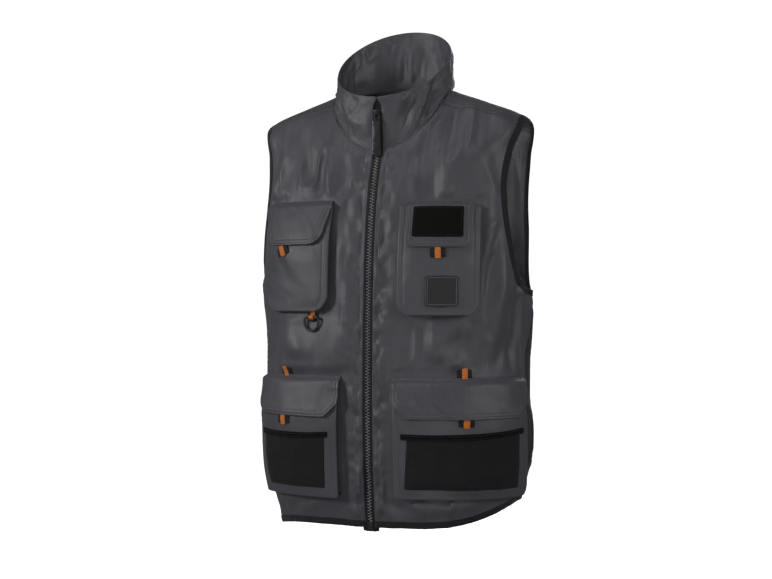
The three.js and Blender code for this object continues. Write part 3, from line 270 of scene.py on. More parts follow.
def cells(ids: Array, around: bool = False, along: bool = False) -> Array:
    """Quads of a grid of point numbers, anticlockwise from the outside.

    Args:
        ids: point numbers by row and column.
        around: whether the last column joins the first.
        along: whether the last row joins the first.

    Returns:
        An array of four corners a row.
    """
    if around:
        ids = np.concatenate([ids, ids[:, :1]], axis=1)
    if along:
        ids = np.concatenate([ids, ids[:1]], axis=0)
    return pack(ids[:-1, :-1], ids[:-1, 1:], ids[1:, 1:], ids[1:, :-1]).reshape(-1, 4)


def rim_of(rows: int, columns: int) -> Array:
    """Row and column numbers round a grid's rim, anticlockwise from the outside."""
    i, j = np.arange(columns), np.arange(rows)
    low = np.stack([np.zeros(columns - 1, int), i[:-1]], axis=1)
    right = np.stack([j[:-1], np.full(rows - 1, columns - 1)], axis=1)
    high = np.stack([np.full(columns - 1, rows - 1), i[:0:-1]], axis=1)
    left = np.stack([j[:0:-1], np.zeros(rows - 1, int)], axis=1)
    return np.concatenate([low, right, high, left])


def wall(
    outer: Array, inner: Array, flat: Array | None = None, turns: int = 2, piece: Piece | None = None
) -> Piece:
    """A closed wall between two grids, its rim a half circle between them.

    Args:
        outer: the outer grid of points.
        inner: the inner grid, of the same shape.
        flat: cloth coordinates of the grid, or None.
        turns: rings of points between the faces at the rim.
        piece: a piece to add to.

    Returns:
        The piece.
    """
    rows, columns = outer.shape[:2]
    count = rows * columns
    ids = np.arange(count).reshape(rows, columns)
    edge = rim_of(rows, columns)
    a, b = outer[edge[:, 0], edge[:, 1]], inner[edge[:, 0], edge[:, 1]]
    near = (np.clip(edge[:, 0], 1, rows - 2), np.clip(edge[:, 1], 1, columns - 2))
    out = unit((a + b) / 2 - (outer[near] + inner[near]) / 2)
    half = length_of(a - b) / 2
    bow = [
        (a + b) / 2 + (a - b) / 2 * math.cos(t) + out * half * math.sin(t)
        for t in np.linspace(0.0, math.pi, turns + 2)[1:-1]
    ]
    rim = ids[edge[:, 0], edge[:, 1]]
    rings = [rim, *[2 * count + k * len(rim) + np.arange(len(rim)) for k in range(turns)], rim + count]
    strips = [
        np.stack([p, q, np.roll(q, -1), np.roll(p, -1)], axis=1) for p, q in zip(rings, rings[1:])
    ]
    if flat is None:
        flat = outer[..., [0, 2]]
    flat = flat.reshape(-1, 2)
    return (piece or Piece()).closed(
        np.concatenate([outer.reshape(-1, 3), inner.reshape(-1, 3), *bow]),
        [cells(ids), cells(ids + count)[:, ::-1], *strips],
        np.concatenate([flat, flat, *[flat[rim]] * turns]),
    )


def tube(rings: Array, closed: bool, flat: Array | None = None, piece: Piece | None = None) -> Piece:
    """A closed tube from rings of points, capped at its ends unless it closes on itself.

    Args:
        rings: points by ring and by place round the ring, anticlockwise along the path.
        closed: whether the last ring joins the first.
        flat: cloth coordinates, or None.
        piece: a piece to add to.

    Returns:
        The piece.
    """
    count, sides = rings.shape[:2]
    ids = np.arange(count * sides).reshape(count, sides)
    faces = [cells(ids, around=True, along=closed)]
    points = rings.reshape(-1, 3)
    if flat is not None:
        flat = flat.reshape(-1, 2)
    if not closed:
        poles = np.stack([rings[0].mean(axis=0), rings[-1].mean(axis=0)])
        points = np.concatenate([points, poles])
        turn = np.arange(sides)
        after = np.roll(turn, -1)
        first, last = count * sides, count * sides + 1
        faces.append(np.stack([np.full(sides, first), after, turn], axis=1))
        faces.append(np.stack([np.full(sides, last), ids[-1][turn], ids[-1][after]], axis=1))
        if flat is not None:
            flat = np.concatenate([flat, flat[[0]], flat[[-1]]])
    return (piece or Piece()).closed(points, faces, flat)


def rods(piece: Piece, points: Array) -> Piece:
    """Adds many closed solids at once, each a stack of rings with its two ends capped.

    Args:
        piece: the piece that they join.
        points: points by solid, by ring and by place round the ring.

    Returns:
        The piece.
    """
    ids = np.arange(points[..., 0].size).reshape(points.shape[:3])
    loop = np.concatenate([ids, ids[..., :1]], axis=2)
    quads = pack(loop[:, :-1, :-1], loop[:, :-1, 1:], loop[:, 1:, 1:], loop[:, 1:, :-1])
    return piece.closed(points, [quads.reshape(-1, 4), ids[:, 0, ::-1], ids[:, -1]])


class Section(NamedTuple):
    """A level section of the body: shares of the length, the half width and the two depths."""

    down: float
    wide: float
    front: float
    back: float
    blade: float


class Shoulder(NamedTuple):
    """A level section over the shoulders: share of the drop, share of the way out, the two depths."""

    drop: float
    out: float
    front: float
    back: float
    blade: float


class Neck(NamedTuple):
    """A point of the neckline: its angle, share of the front drop, share of the back rise."""

    angle: float
    drop: float
    rise: float


class Fold(NamedTuple):
    """A long bell-shaped fold: place, size as shares of the body length, lean and share of the height."""

    angle: float
    down: float
    long: float
    wide: float
    lean: float
    high: float


class CollarFold(NamedTuple):
    """A swell or valley up the collar: direction at its foot, degrees gained, width and share."""

    angle: float
    lean: float
    wide: float
    high: float


def named_rows(kind: Callable[..., object], *rows: Sequence[float]) -> tuple:
    """Rows of numbers as named tuples of one kind."""
    return tuple(kind(*row) for row in rows)


class Curve:
    """A smooth curve through the rows of a table: cubic pieces whose slopes follow the neighbours."""

    def __init__(self, keys: Sequence[float], values: Sequence[float]) -> None:
        """Keeps the rows and the slope at each of them."""
        self.keys, self.values = np.array(keys, float), np.array(values, float)
        n = len(self.keys)
        low, high = np.maximum(np.arange(n) - 1, 0), np.minimum(np.arange(n) + 1, n - 1)
        self.slopes = (self.values[high] - self.values[low]) / (self.keys[high] - self.keys[low])

    def __call__(self, x: Array) -> Array:
        """The curve's value at each x, held at the ends of the table."""
        x = np.clip(x, self.keys[0], self.keys[-1])
        i = np.searchsorted(self.keys[1:-1], x, side="left")
        span = self.keys[i + 1] - self.keys[i]
        t = (x - self.keys[i]) / span
        p, q, m, n = self.values[i], self.values[i + 1], self.slopes[i], self.slopes[i + 1]
        return (
            (2 * t**3 - 3 * t**2 + 1) * p
            + (t**3 - 2 * t**2 + t) * span * m
            + (-2 * t**3 + 3 * t**2) * q
            + (t**3 - t**2) * span * n
        )


@dataclass(frozen=True)
class Body:
    """The worn form that the cloth follows, with its seam lines and folds. Places are (angle, height)."""

    body_length: float = 675.0
    chest_half_width: float = 220.0
    front_depth: float = 138.0
    back_depth: float = 124.0
    shoulder_half_width: float = 222.0
    shoulder_drop: float = 60.0
    neck_half_width: float = 94.0
    neck_front_drop: float = 98.0
    neck_back_rise: float = 18.0
    armhole_top: float = 52.0
    armhole_depth: float = 262.0
    hem_lift_left: float = 34.0
    hem_lift_right: float = -18.0
    zip_opening: float = 15.6
    cloth: float = 1.5
    binding_width: float = 11.0
    squareness: float = 0.1
    blade_squareness: float = 0.36
    fold_height: float = 8.0
    fold_hold: float = 18.0
    fold_ease: float = 24.0
    hem_hold: float = 8.0
    hem_ease: float = 26.0
    neck_hold: float = 3.0
    neck_ease: float = 22.0
    arm_hold: float = 8.0
    arm_ease: float = 30.0
    arm_reach: float = 45.0
    zip_hold: float = 12.0
    broad_cell: Pair = (42.0, 130.0)
    patch_cell: Pair = (80.0, 90.0)
    crumple_cell: Pair = (24.0, 80.0)
    pucker_cell: Pair = (8.5, 19.0)
    pucker_reach: float = 26.0
    broad_height: float = 5.4
    crumple_height: float = 5.6
    pucker_height: float = 3.3
    back_side_seam: float = 106.5
    shoulder_seam_angle: float = 30.0
    shoulder_back_angle: float = 125.0
    armhole_seam_turn: float = -0.15
    armhole_strap_turn: float = 0.24
    armhole_side_turn: float = 0.97
    mean_radius: float = 175.5
    sections: tuple[Section, ...] = named_rows(
        Section,
        (1.06, 0.82, 0.84, 0.86, 0), (0.943, 0.915, 0.93, 0.92, 0), (0.862, 0.965, 0.965, 0.95, 0),
        (0.748, 0.98, 1, 0.97, 0), (0.602, 0.97, 1, 0.985, 0), (0.439, 0.978, 0.98, 1, 0.15),
        (0.293, 1.003, 0.93, 0.985, 0.6), (0.163, 0.995, 0.815, 0.935, 0.8),
        (0.065, 1, 0.65, 0.855, 0.6),
    )
    shoulders: tuple[Shoulder, ...] = named_rows(
        Shoulder,
        (1, 1, 0.52, 0.76, 0.3), (0.7, 0.86, 0.45, 0.71, 0.15), (0.37, 0.45, 0.365, 0.645, 0),
        (0, 0, 0.29, 0.58, 0), (-0.37, -0.19, 0.22, 0.5, 0),
    )
    neck: tuple[Neck, ...] = named_rows(
        Neck,
        (0, 1, 0), (5.8, 0.952, 0), (11.2, 0.823, 0), (16, 0.633, 0), (22, 0.41, 0),
        (28.3, 0.29, 0), (36, 0.2, 0), (51, 0.09, 0), (90, 0, 0), (120, 0, 0.34), (150, 0, 0.74),
        (180, 0, 1),
    )
    main_folds: tuple[Fold, ...] = named_rows(
        Fold,
        (38, 0.2, 0.13, 0.035, 42, 0.75), (56, 0.24, 0.06, 0.025, 55, -0.4),
        (10, 0.33, 0.16, 0.02, 2, 0.3), (25, 0.585, 0.09, 0.025, 12, 0.6),
        (36, 0.58, 0.08, 0.026, 14, -0.5), (58, 0.5, 0.13, 0.03, 10, 0.7),
        (70, 0.52, 0.12, 0.028, 6, -0.5), (40, 0.975, 0.07, 0.02, 72, 0.5),
        (14, 0.96, 0.05, 0.02, -45, 0.5), (-16, 0.2, 0.1, 0.025, -14, 0.6),
        (-30, 0.19, 0.1, 0.028, -24, -0.45), (-9, 0.55, 0.13, 0.018, -10, 0.35),
        (-32, 0.6, 0.06, 0.026, -20, 0.5), (-62, 0.6, 0.14, 0.03, -4, 0.4),
        (150, 0.4, 0.25, 0.05, 8, 0.6), (-150, 0.42, 0.25, 0.05, -8, 0.6),
        (125, 0.75, 0.14, 0.035, -25, 0.6), (-128, 0.72, 0.14, 0.035, 25, 0.6),
    )
    small_folds: tuple[Fold, ...] = named_rows(
        Fold,
        (5.5, 0.25, 0.1, 0.007, 3, 0.22), (8, 0.42, 0.12, 0.008, -4, 0.24),
        (6, 0.62, 0.1, 0.008, 5, 0.25), (9, 0.78, 0.09, 0.009, -6, 0.25),
        (-5.5, 0.3, 0.11, 0.007, -4, 0.24), (-8, 0.47, 0.1, 0.008, 4, 0.22),
        (-6, 0.68, 0.12, 0.008, -3, 0.24), (-10, 0.83, 0.07, 0.009, 8, 0.22),
        (52, 0.32, 0.06, 0.011, 60, 0.26), (60, 0.29, 0.05, 0.01, 70, -0.22),
        (52, 0.41, 0.1, 0.012, 10, -0.5), (59, 0.45, 0.13, 0.013, 5, 0.34),
        (33, 0.175, 0.085, 0.021, 61, 0.45), (38, 0.225, 0.08, 0.02, 58, -0.35),
        (-17, 0.2, 0.12, 0.01, -4, 0.4), (-22, 0.23, 0.1, 0.011, 3, -0.3),
        (-28, 0.2, 0.1, 0.012, 5, 0.3), (58, 0.36, 0.05, 0.011, 55, 0.26),
        (28, 0.16, 0.05, 0.012, 62, 0.25), (-44, 0.26, 0.08, 0.011, -48, 0.22),
        (-54, 0.33, 0.05, 0.01, -60, 0.24), (-13, 0.15, 0.05, 0.009, -28, 0.28),
        (-19, 0.17, 0.06, 0.009, -34, -0.24), (62, 0.965, 0.05, 0.012, 60, 0.34),
        (26, 0.985, 0.04, 0.011, 64, -0.28), (-30, 0.965, 0.05, 0.011, 66, 0.26),
        (-52, 0.975, 0.05, 0.012, 78, -0.22),
    )

    def __post_init__(self) -> None:
        """Turns the tables into curves in millimetres, and tabulates distances round the body."""
        fall = self.body_length - self.shoulder_drop
        spread = self.shoulder_half_width - self.neck_half_width
        z = [-self.shoulder_drop - r.down * fall for r in self.sections]
        z += [-r.drop * self.shoulder_drop for r in self.shoulders]
        rows = [*self.sections, *self.shoulders]
        wide = [r.wide * self.chest_half_width for r in self.sections]
        wide += [self.neck_half_width + r.out * spread for r in self.shoulders]
        curves = {
            "wide": Curve(z, wide),
            "front": Curve(z, [r.front * self.front_depth for r in rows]),
            "back": Curve(z, [r.back * self.back_depth for r in rows]),
            "blade": Curve(z, [r.blade for r in rows]),
            "neck_line": Curve(
                [r.angle for r in self.neck],
                [r.rise * self.neck_back_rise - r.drop * self.neck_front_drop for r in self.neck],
            ),
        }
        for name, curve in curves.items():
            object.__setattr__(self, name, curve)
        self.tabulate()

    def tabulate(self) -> None:
        """Keeps the distance round from the zip, and the distance up, over a grid of places."""
        turns, levels = np.arange(0.0, 181.0, 1.0), np.arange(-720.0, 24.0, 4.0)
        ring = self.torso(turns[None, :], levels[:, None])
        round_it = np.cumsum(np.linalg.norm(np.diff(ring, axis=1, prepend=ring[:, :1]), axis=2), axis=1)
        upward = np.cumsum(np.linalg.norm(np.diff(ring, axis=0, prepend=ring[:1]), axis=2), axis=0)
        object.__setattr__(self, "table", (turns, levels, round_it, upward))

    def flat(self, angle: Array, z: Array) -> Array:
        """Cloth coordinates of places: the distance round from the zip, and up from the foot."""
        turns, levels, round_it, upward = self.table
        angle, z = np.broadcast_arrays(angle, z)
        turn = wrap_angle(angle)
        x = np.clip(np.abs(turn) - turns[0], 0.0, len(turns) - 1.001)
        y = np.clip((z - levels[0]) / (levels[1] - levels[0]), 0.0, len(levels) - 1.001)
        i, j = x.astype(int), y.astype(int)
        s, t = x - i, y - j
        found = [
            (table[j, i] * (1 - s) + table[j, i + 1] * s) * (1 - t)
            + (table[j + 1, i] * (1 - s) + table[j + 1, i + 1] * s) * t
            for table in (round_it, upward)
        ]
        return pack(sign_of(turn) * found[0], found[1])

    def torso(self, angle: Array, z: Array) -> Array:
        """Points of the unfolded body: a squared ellipse at height z.

        Args:
            angle: degrees round from the zip, positive to the wearer's left.
            z: height.

        Returns:
            Points.
        """
        angle, z = floats(angle, z)
        s, c = np.sin(angle * DEG), np.cos(angle * DEG)
        ahead = c > 0
        deep = np.where(ahead, self.front(z), self.back(z))
        blade = np.where(ahead, 0.0, self.blade(z))
        square = self.squareness + blade * (self.blade_squareness - self.squareness)
        x = self.wide(z) * s * (1 + self.squareness * c * c)
        return pack(x, -deep * c * (1 + square * s * s), z)

    def frame_at(self, angle: Array, z: Array) -> tuple[Array, Array, Array]:
        """Directions round and up the unfolded body, and its outward normal."""
        u = self.torso(angle + 0.5, z) - self.torso(angle - 0.5, z)
        v = self.torso(angle, z + 0.5) - self.torso(angle, z - 0.5)
        return u, v, unit(np.cross(u, v))

    def angle_at(self, across: Array, z: Array) -> Array:
        """The angle at a distance over the cloth from the zip, by chords of two degrees."""
        across, z = floats(across, z)
        levels, row = np.unique(z.ravel(), return_inverse=True)
        turns = np.arange(0.0, 181.0, 2.0)
        ring = self.torso(turns[None, :], levels[:, None])
        run = np.cumsum(np.linalg.norm(np.diff(ring, axis=1, prepend=ring[:, :1]), axis=2), axis=1)
        run = run[row.ravel()]
        goal = np.abs(across.ravel())
        k = np.clip((run < goal[:, None]).sum(axis=1), 1, len(turns) - 1)
        at = np.arange(len(goal))
        low, high = run[at, k - 1], run[at, k]
        angle = 2.0 * (k - 1 + (goal - low) / (high - low))
        return (sign_of(across.ravel()) * angle).reshape(across.shape)

    def aside(self, angle: Array, z: Array, travel: Array, distance: Array) -> Places:
        """Moves places sideways over the cloth, to the left of a direction of travel."""
        u, v, normal = self.frame_at(angle, z)
        goal = unit(np.cross(normal, travel)) * np.asarray(distance, float)[..., None]
        uu, uv, vv = (u * u).sum(-1), (u * v).sum(-1), (v * v).sum(-1)
        gu, gv = (goal * u).sum(-1), (goal * v).sum(-1)
        det = uu * vv - uv * uv
        return angle + (gu * vv - gv * uv) / det, z + (gv * uu - gu * uv) / det

    def neckline(self, angle: Array, up: Array = 0.0) -> Places:
        """Places along the neckline, moved up the neck over the cloth."""
        angle, up = floats(angle, up)
        z = self.neck_line(np.abs(angle))
        ahead = self.torso(angle + 1, self.neck_line(np.abs(angle + 1)))
        travel = ahead - self.torso(angle - 1, self.neck_line(np.abs(angle - 1)))
        return self.aside(angle, z, travel, up)

    def hemline(self, angle: Array, up: Array = 0.0) -> Places:
        """Places along the hem: its lift grows with the fourth power of the sine of the angle."""
        s = np.sin(angle * DEG)
        lift = np.where(s > 0, self.hem_lift_left, self.hem_lift_right)
        return angle + 0.0 * up, -self.body_length + lift * s**4 + up

    def armhole(self, turn: Array, out: Array = 0.0) -> Places:
        """Places round the left armhole, moved out over the cloth.

        Args:
            turn: -1 at the lowest point, up the front, 0 at the shoulder, down the back to 1.
            out: distance from the hole's edge.

        Returns:
            Angles and heights.
        """
        turn, out = floats(turn, out)

        def place(raw: Array) -> Places:
            """The edge itself: a raised cosine down, with a bulge in front and at the back."""
            q = ((raw + 3.0) % 2.0) - 1.0
            fall = (1 - np.cos(math.pi * q)) / 2
            bulge = np.where(q < 0, -32.0, 24.0)
            angle = 90 + 7 * fall + bulge * np.abs(np.sin(math.pi * q)) ** 0.6
            return angle, -self.armhole_top - self.armhole_depth * fall

        angle, z = place(turn)
        travel = self.torso(*place(turn + 0.01)) - self.torso(*place(turn - 0.01))
        moved = self.aside(angle, z, travel, out)
        still = out == 0
        return np.where(still, angle, moved[0]), np.where(still, z, moved[1])

    def freedom(self, angle: Array, z: Array, hold: float, ease_over: float) -> Array:
        """How free the cloth is to fold: 0 under and round the pockets, 1 well away from them."""
        free = np.ones(np.broadcast(angle, z).shape)
        for pocket in POCKETS:
            level = -(pocket.top + pocket.bottom) / 2
            ends = self.angle_at(pocket.middle + np.array([-0.5, 0.5]) * pocket.width, level)
            across = (np.abs(angle - ends.mean()) - (ends[1] - ends[0]) / 2) * DEG * self.mean_radius
            along = np.abs(z - level) - (pocket.bottom - pocket.top) / 2
            free = free * ease((np.maximum(across, along) - hold) / ease_over)
        return free

    def folds(self, angle: Array, z: Array, rows: Sequence[Fold]) -> Array:
        """Sum of long bells, each with its own lean."""
        total = np.zeros(np.broadcast(angle, z).shape)
        for fold in rows:
            x = wrap_angle(angle - fold.angle) * DEG * self.mean_radius
            y = z + fold.down * self.body_length
            lean = fold.lean * DEG
            along = (x * math.sin(lean) + y * math.cos(lean)) / (fold.long * self.body_length)
            aside = (x * math.cos(lean) - y * math.sin(lean)) / (fold.wide * self.body_length)
            total = total + fold.high * np.exp(-along * along - aside * aside)
        return total

    def relief(self, angle: Array, z: Array) -> Array:
        """Height of the cloth over the unfolded body.

        It is the sum of main folds, which the pockets hold flat, small folds, broad swells, creases in
        patches and puckers beside the zip. All but the main folds are calm at the zip, the armholes,
        the hem and the neckline.

        Args:
            angle: degrees round from the zip.
            z: height.

        Returns:
            The height at each place.
        """
        across = np.abs(self.flat(angle, z)[..., 0])
        arm = self.arm_distance(angle, z)
        low = ease((z - self.hemline(angle)[1] - self.hem_hold) / self.hem_ease)
        high = ease((self.neck_line(np.abs(wrap_angle(angle))) - z - self.neck_hold) / self.neck_ease)
        free = self.freedom(angle, z, self.fold_hold, self.fold_ease)
        main = self.folds(angle, z, self.main_folds) * free
        main = main * ease((np.abs(angle) - 2) / 6) * (0.5 + 0.5 * ease(arm / self.arm_reach))
        main = main * (0.35 + 0.65 * low)
        calm = self.freedom(angle, z, 1.0, 14.0) * ease((across - 8) / 5)
        calm = calm * (0.12 + 0.88 * ease((arm - self.arm_hold) / self.arm_ease))
        calm = calm * (0.2 + 0.8 * low) * (0.1 + 0.9 * high)
        patches = ease((self.scattered(NOISE.at, angle, z, self.patch_cell) + 0.6) / 0.9)
        beside_zip = bell(np.maximum(across - self.zip_hold, 0), self.pucker_reach)
        broad = self.scattered(NOISE.cloud, angle, z, self.broad_cell)
        crumple = self.scattered(NOISE.creases, angle, z, self.crumple_cell) * patches
        pucker = self.scattered(NOISE.cloud, angle, z, self.pucker_cell) * beside_zip
        fine = self.broad_height * broad + self.crumple_height * crumple + self.pucker_height * pucker
        small = self.folds(angle, z, self.small_folds)
        return self.fold_height * main + (self.fold_height * small + fine) * calm

    def arm_distance(self, angle: Array, z: Array) -> Array:
        """Rough distance over the cloth from the nearer armhole's edge."""
        turn = np.abs(wrap_angle(angle))
        fall = np.clip((-z - self.armhole_top) / self.armhole_depth, 0.0, 1.0)
        reach = (2 * np.sqrt(fall * (1 - fall))) ** 0.6
        middle = 90 + 7 * fall
        beside = np.maximum(middle - 32 * reach - turn, turn - middle - 24 * reach) * DEG * self.mean_radius
        above = np.maximum(z + self.armhole_top, -self.armhole_top - self.armhole_depth - z)
        return np.hypot(np.maximum(beside, 0.0), np.maximum(above, 0.0))

    def scattered(self, kind: Callable[..., Array], angle: Array, z: Array, cell: Pair) -> Array:
        """Noise that runs on all round the body: by x in front and behind, by y at the sides.

        Args:
            kind: a method of the noise, of two coordinates in cells.
            angle: degrees from the zip.
            z: height.
            cell: width and height of a cell.

        Returns:
            The noise at each place.
        """
        wide, tall = cell
        point = self.torso(angle, z)
        share = ease((np.cos(angle * DEG) ** 2 - 0.25) / 0.4)
        shift = wide + 0.37 * tall
        ahead = kind(point[..., 0] / wide + shift, z / tall + shift)
        beside = kind(point[..., 1] / wide + shift + 30.0, z / tall + shift)
        return ahead * share + beside * (1 - share)

    def skin(self, angle: Array, z: Array, offset: Array = 0.0) -> Array:
        """Points of the cloth, raised above its middle by an offset."""
        angle, z, offset = floats(angle, z, offset)
        normal = self.frame_at(angle, z)[2]
        return self.torso(angle, z) + normal * (self.relief(angle, z) + offset)[..., None]

    def on_cloth(self, across: Array, z: Array, offset: Array) -> Array:
        """The same, placed by the distance over the cloth from the zip."""
        return self.skin(self.angle_at(across, z), z, offset)


@dataclass(frozen=True)
class Thread:
    """Sewing thread: small raised stitches along a line, their ends sunk in the cloth."""

    pitch: float = 3.4
    stitch: float = 2.5
    radius: float = 0.34

    def sew(self, piece: Piece, line: Array, normal: Array) -> Piece:
        """Adds stitches along a line: each is a bent spindle, a half sine above the cloth.

        Args:
            piece: the piece that the stitches join.
            line: points on the cloth.
            normal: the cloth's outward normal at each of them.

        Returns:
            The piece.
        """
        run = run_of(line)
        count = int(run[-1] // self.pitch)
        if count < 2:
            return piece
        rings, sides = 4, 5
        middle = (np.arange(count) + 0.5) * run[-1] / count
        share = np.linspace(-1.0, 1.0, rings)
        at = middle[:, None] + share * self.stitch / 2
        spot, up = between(at, run, line), unit(between(at, run, normal))
        ahead = unit(spot[:, -1:] - spot[:, :1])
        side = unit(np.cross(up, ahead))
        thick = self.radius * np.sqrt(1.05 - share**2)[None, :, None]
        lift = self.radius * (0.75 * np.cos(share * math.pi / 2) - 0.35)[None, :, None]
        turn = np.arange(sides) * 2 * math.pi / sides
        ring = (spot + up * lift)[:, :, None] + thick[..., None] * (
            side[:, :, None] * np.cos(turn)[:, None] + up[:, :, None] * np.sin(turn)[:, None]
        )
        return rods(piece, ring)


class Side(Enum):
    """The wearer's left or right."""

    LEFT = 1
    RIGHT = -1

    @property
    def word(self) -> str:
        """The word used in names."""
        return self.name.lower()


@dataclass(frozen=True)
class PocketSizes:
    """A patch pocket with a flap; across is measured over the cloth from the zip to its middle."""

    name: str
    side: Side
    across: float
    top: float
    width: float
    bottom: float
    corner: float
    flap_width: float
    flap_length: float
    flap_corner: float
    flap_taper: float
    chamfer: bool
    depth: float = 12.0
    belly: float = 4.0
    bag_cloth: float = 1.6
    flap_cloth: float = 2.0
    mouth_share: float = 0.4
    flap_rise: float = 8.0
    flap_gap: float = 1.6

    @property
    def middle(self) -> float:
        """Signed distance from the zip to the pocket's middle."""
        return self.side.value * self.across

    @property
    def mouth(self) -> float:
        """Height of the bag's open edge."""
        return -self.top - self.flap_rise

    def bag_height(self, across: Array, z: Array) -> Array:
        """Height of the bag's front over the middle of the cloth: its depth plus a belly."""
        x = np.minimum(np.abs(across - self.middle) / (self.width / 2), 1.0)
        y = np.clip((self.mouth - z) / (self.mouth + self.bottom), 0.0, 1.0)
        opening = self.mouth_share + (1 - self.mouth_share) * ease(y / 0.35)
        deep = (self.depth - self.bag_cloth) * opening
        return ON_CLOTH + self.bag_cloth + deep + self.belly * (1 - x * x) * np.sin(math.pi * np.sqrt(y))

    def flap_height(self, across: Array, z: Array) -> Array:
        """Height of the flap's inner face over the middle of the cloth."""
        over = self.bag_height(across, z) + self.flap_gap
        return ON_CLOTH + (over - ON_CLOTH) * ease((-self.top - z) / self.flap_rise)


POCKETS: tuple[PocketSizes, ...] = (
    PocketSizes("chest_left", Side.LEFT, 107, 182, 120, 353, 20, 98, 70, 12, 3, False),
    PocketSizes("chest_right", Side.RIGHT, 124, 178, 124, 348, 26, 128, 69, 18, 16, False),
    PocketSizes("lower_left", Side.LEFT, 147, 447, 212, 626, 5, 216, 59, 24, 0, True),
    PocketSizes("lower_right", Side.RIGHT, 123, 446, 154, 630, 5, 158, 60, 20, 0, True),
)
CHEST_LEFT, CHEST_RIGHT, LOWER_LEFT, LOWER_RIGHT = POCKETS
NOISE = Noise(11)
REST_GAP = 0.5
ON_CLOTH = Body.cloth / 2 + REST_GAP
FORM = Body()
FRONT_EDGE = FORM.zip_opening / 2


def patch(u: Array, v: Array, sides: Sequence[Places]) -> Places:
    """Grid of places between four sides: the blend of opposite sides less that of the corners.

    Args:
        u: shares along the bottom and top.
        v: shares up the left and right.
        sides: bottom, top, left and right, each as angles and heights at those shares.

    Returns:
        Angles and heights by row and column.
    """
    found = []
    for k in range(2):
        low, high, left, right = (side[k] for side in sides)
        s, t = u[None, :], v[:, None]
        across = (1 - t) * low[None, :] + t * high[None, :]
        upward = (1 - s) * left[:, None] + s * right[:, None]
        corners = (1 - t) * ((1 - s) * low[0] + s * low[-1]) + t * ((1 - s) * high[0] + s * high[-1])
        found.append(across + upward - corners)
    return found[0], found[1]


def mirrored(places: Places, side: Side) -> Places:
    """Places of a left panel, or their mirror image for the right one, columns turned about."""
    if side is Side.LEFT:
        return places
    return -places[0][:, ::-1], places[1][:, ::-1]


def joined(first: Places, second: Places) -> Places:
    """Two lines of places end to end, the shared place once."""
    return tuple(np.concatenate([a[:-1], b]) for a, b in zip(first, second))


def distance_to(points: Array, line: Array) -> Array:
    """Distance from each point to the nearest point of a dense line, in blocks."""
    flat = points.reshape(-1, 3)
    found = [
        np.sqrt(((block[:, None] - line[None]) ** 2).sum(-1).min(axis=1))
        for block in np.array_split(flat, max(1, len(flat) // 4000))
    ]
    return np.concatenate(found).reshape(points.shape[:-1])


@dataclass(frozen=True)
class Dress:
    """What a finished piece is: its name, its finish, the nodes it replaces and the body it rides on."""

    name: str
    finish: Finish
    replaces: tuple[str, ...]
    body: str = "vest"
    sharp: float | None = None

    def put(self, piece: Piece) -> bpy.types.Object:
        """Writes the piece, gives it its material and rides it on its body.

        Args:
            piece: the finished mesh.

        Returns:
            The Blender object.
        """
        made = piece.object(self.name, self.sharp)
        made.data.materials.append(self.finish.material())
        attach(made, self.body)
        if self.replaces:
            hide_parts(*self.replaces)
        LOG.info("%s: %d points on %s", self.name, piece.count, self.body)
        return made


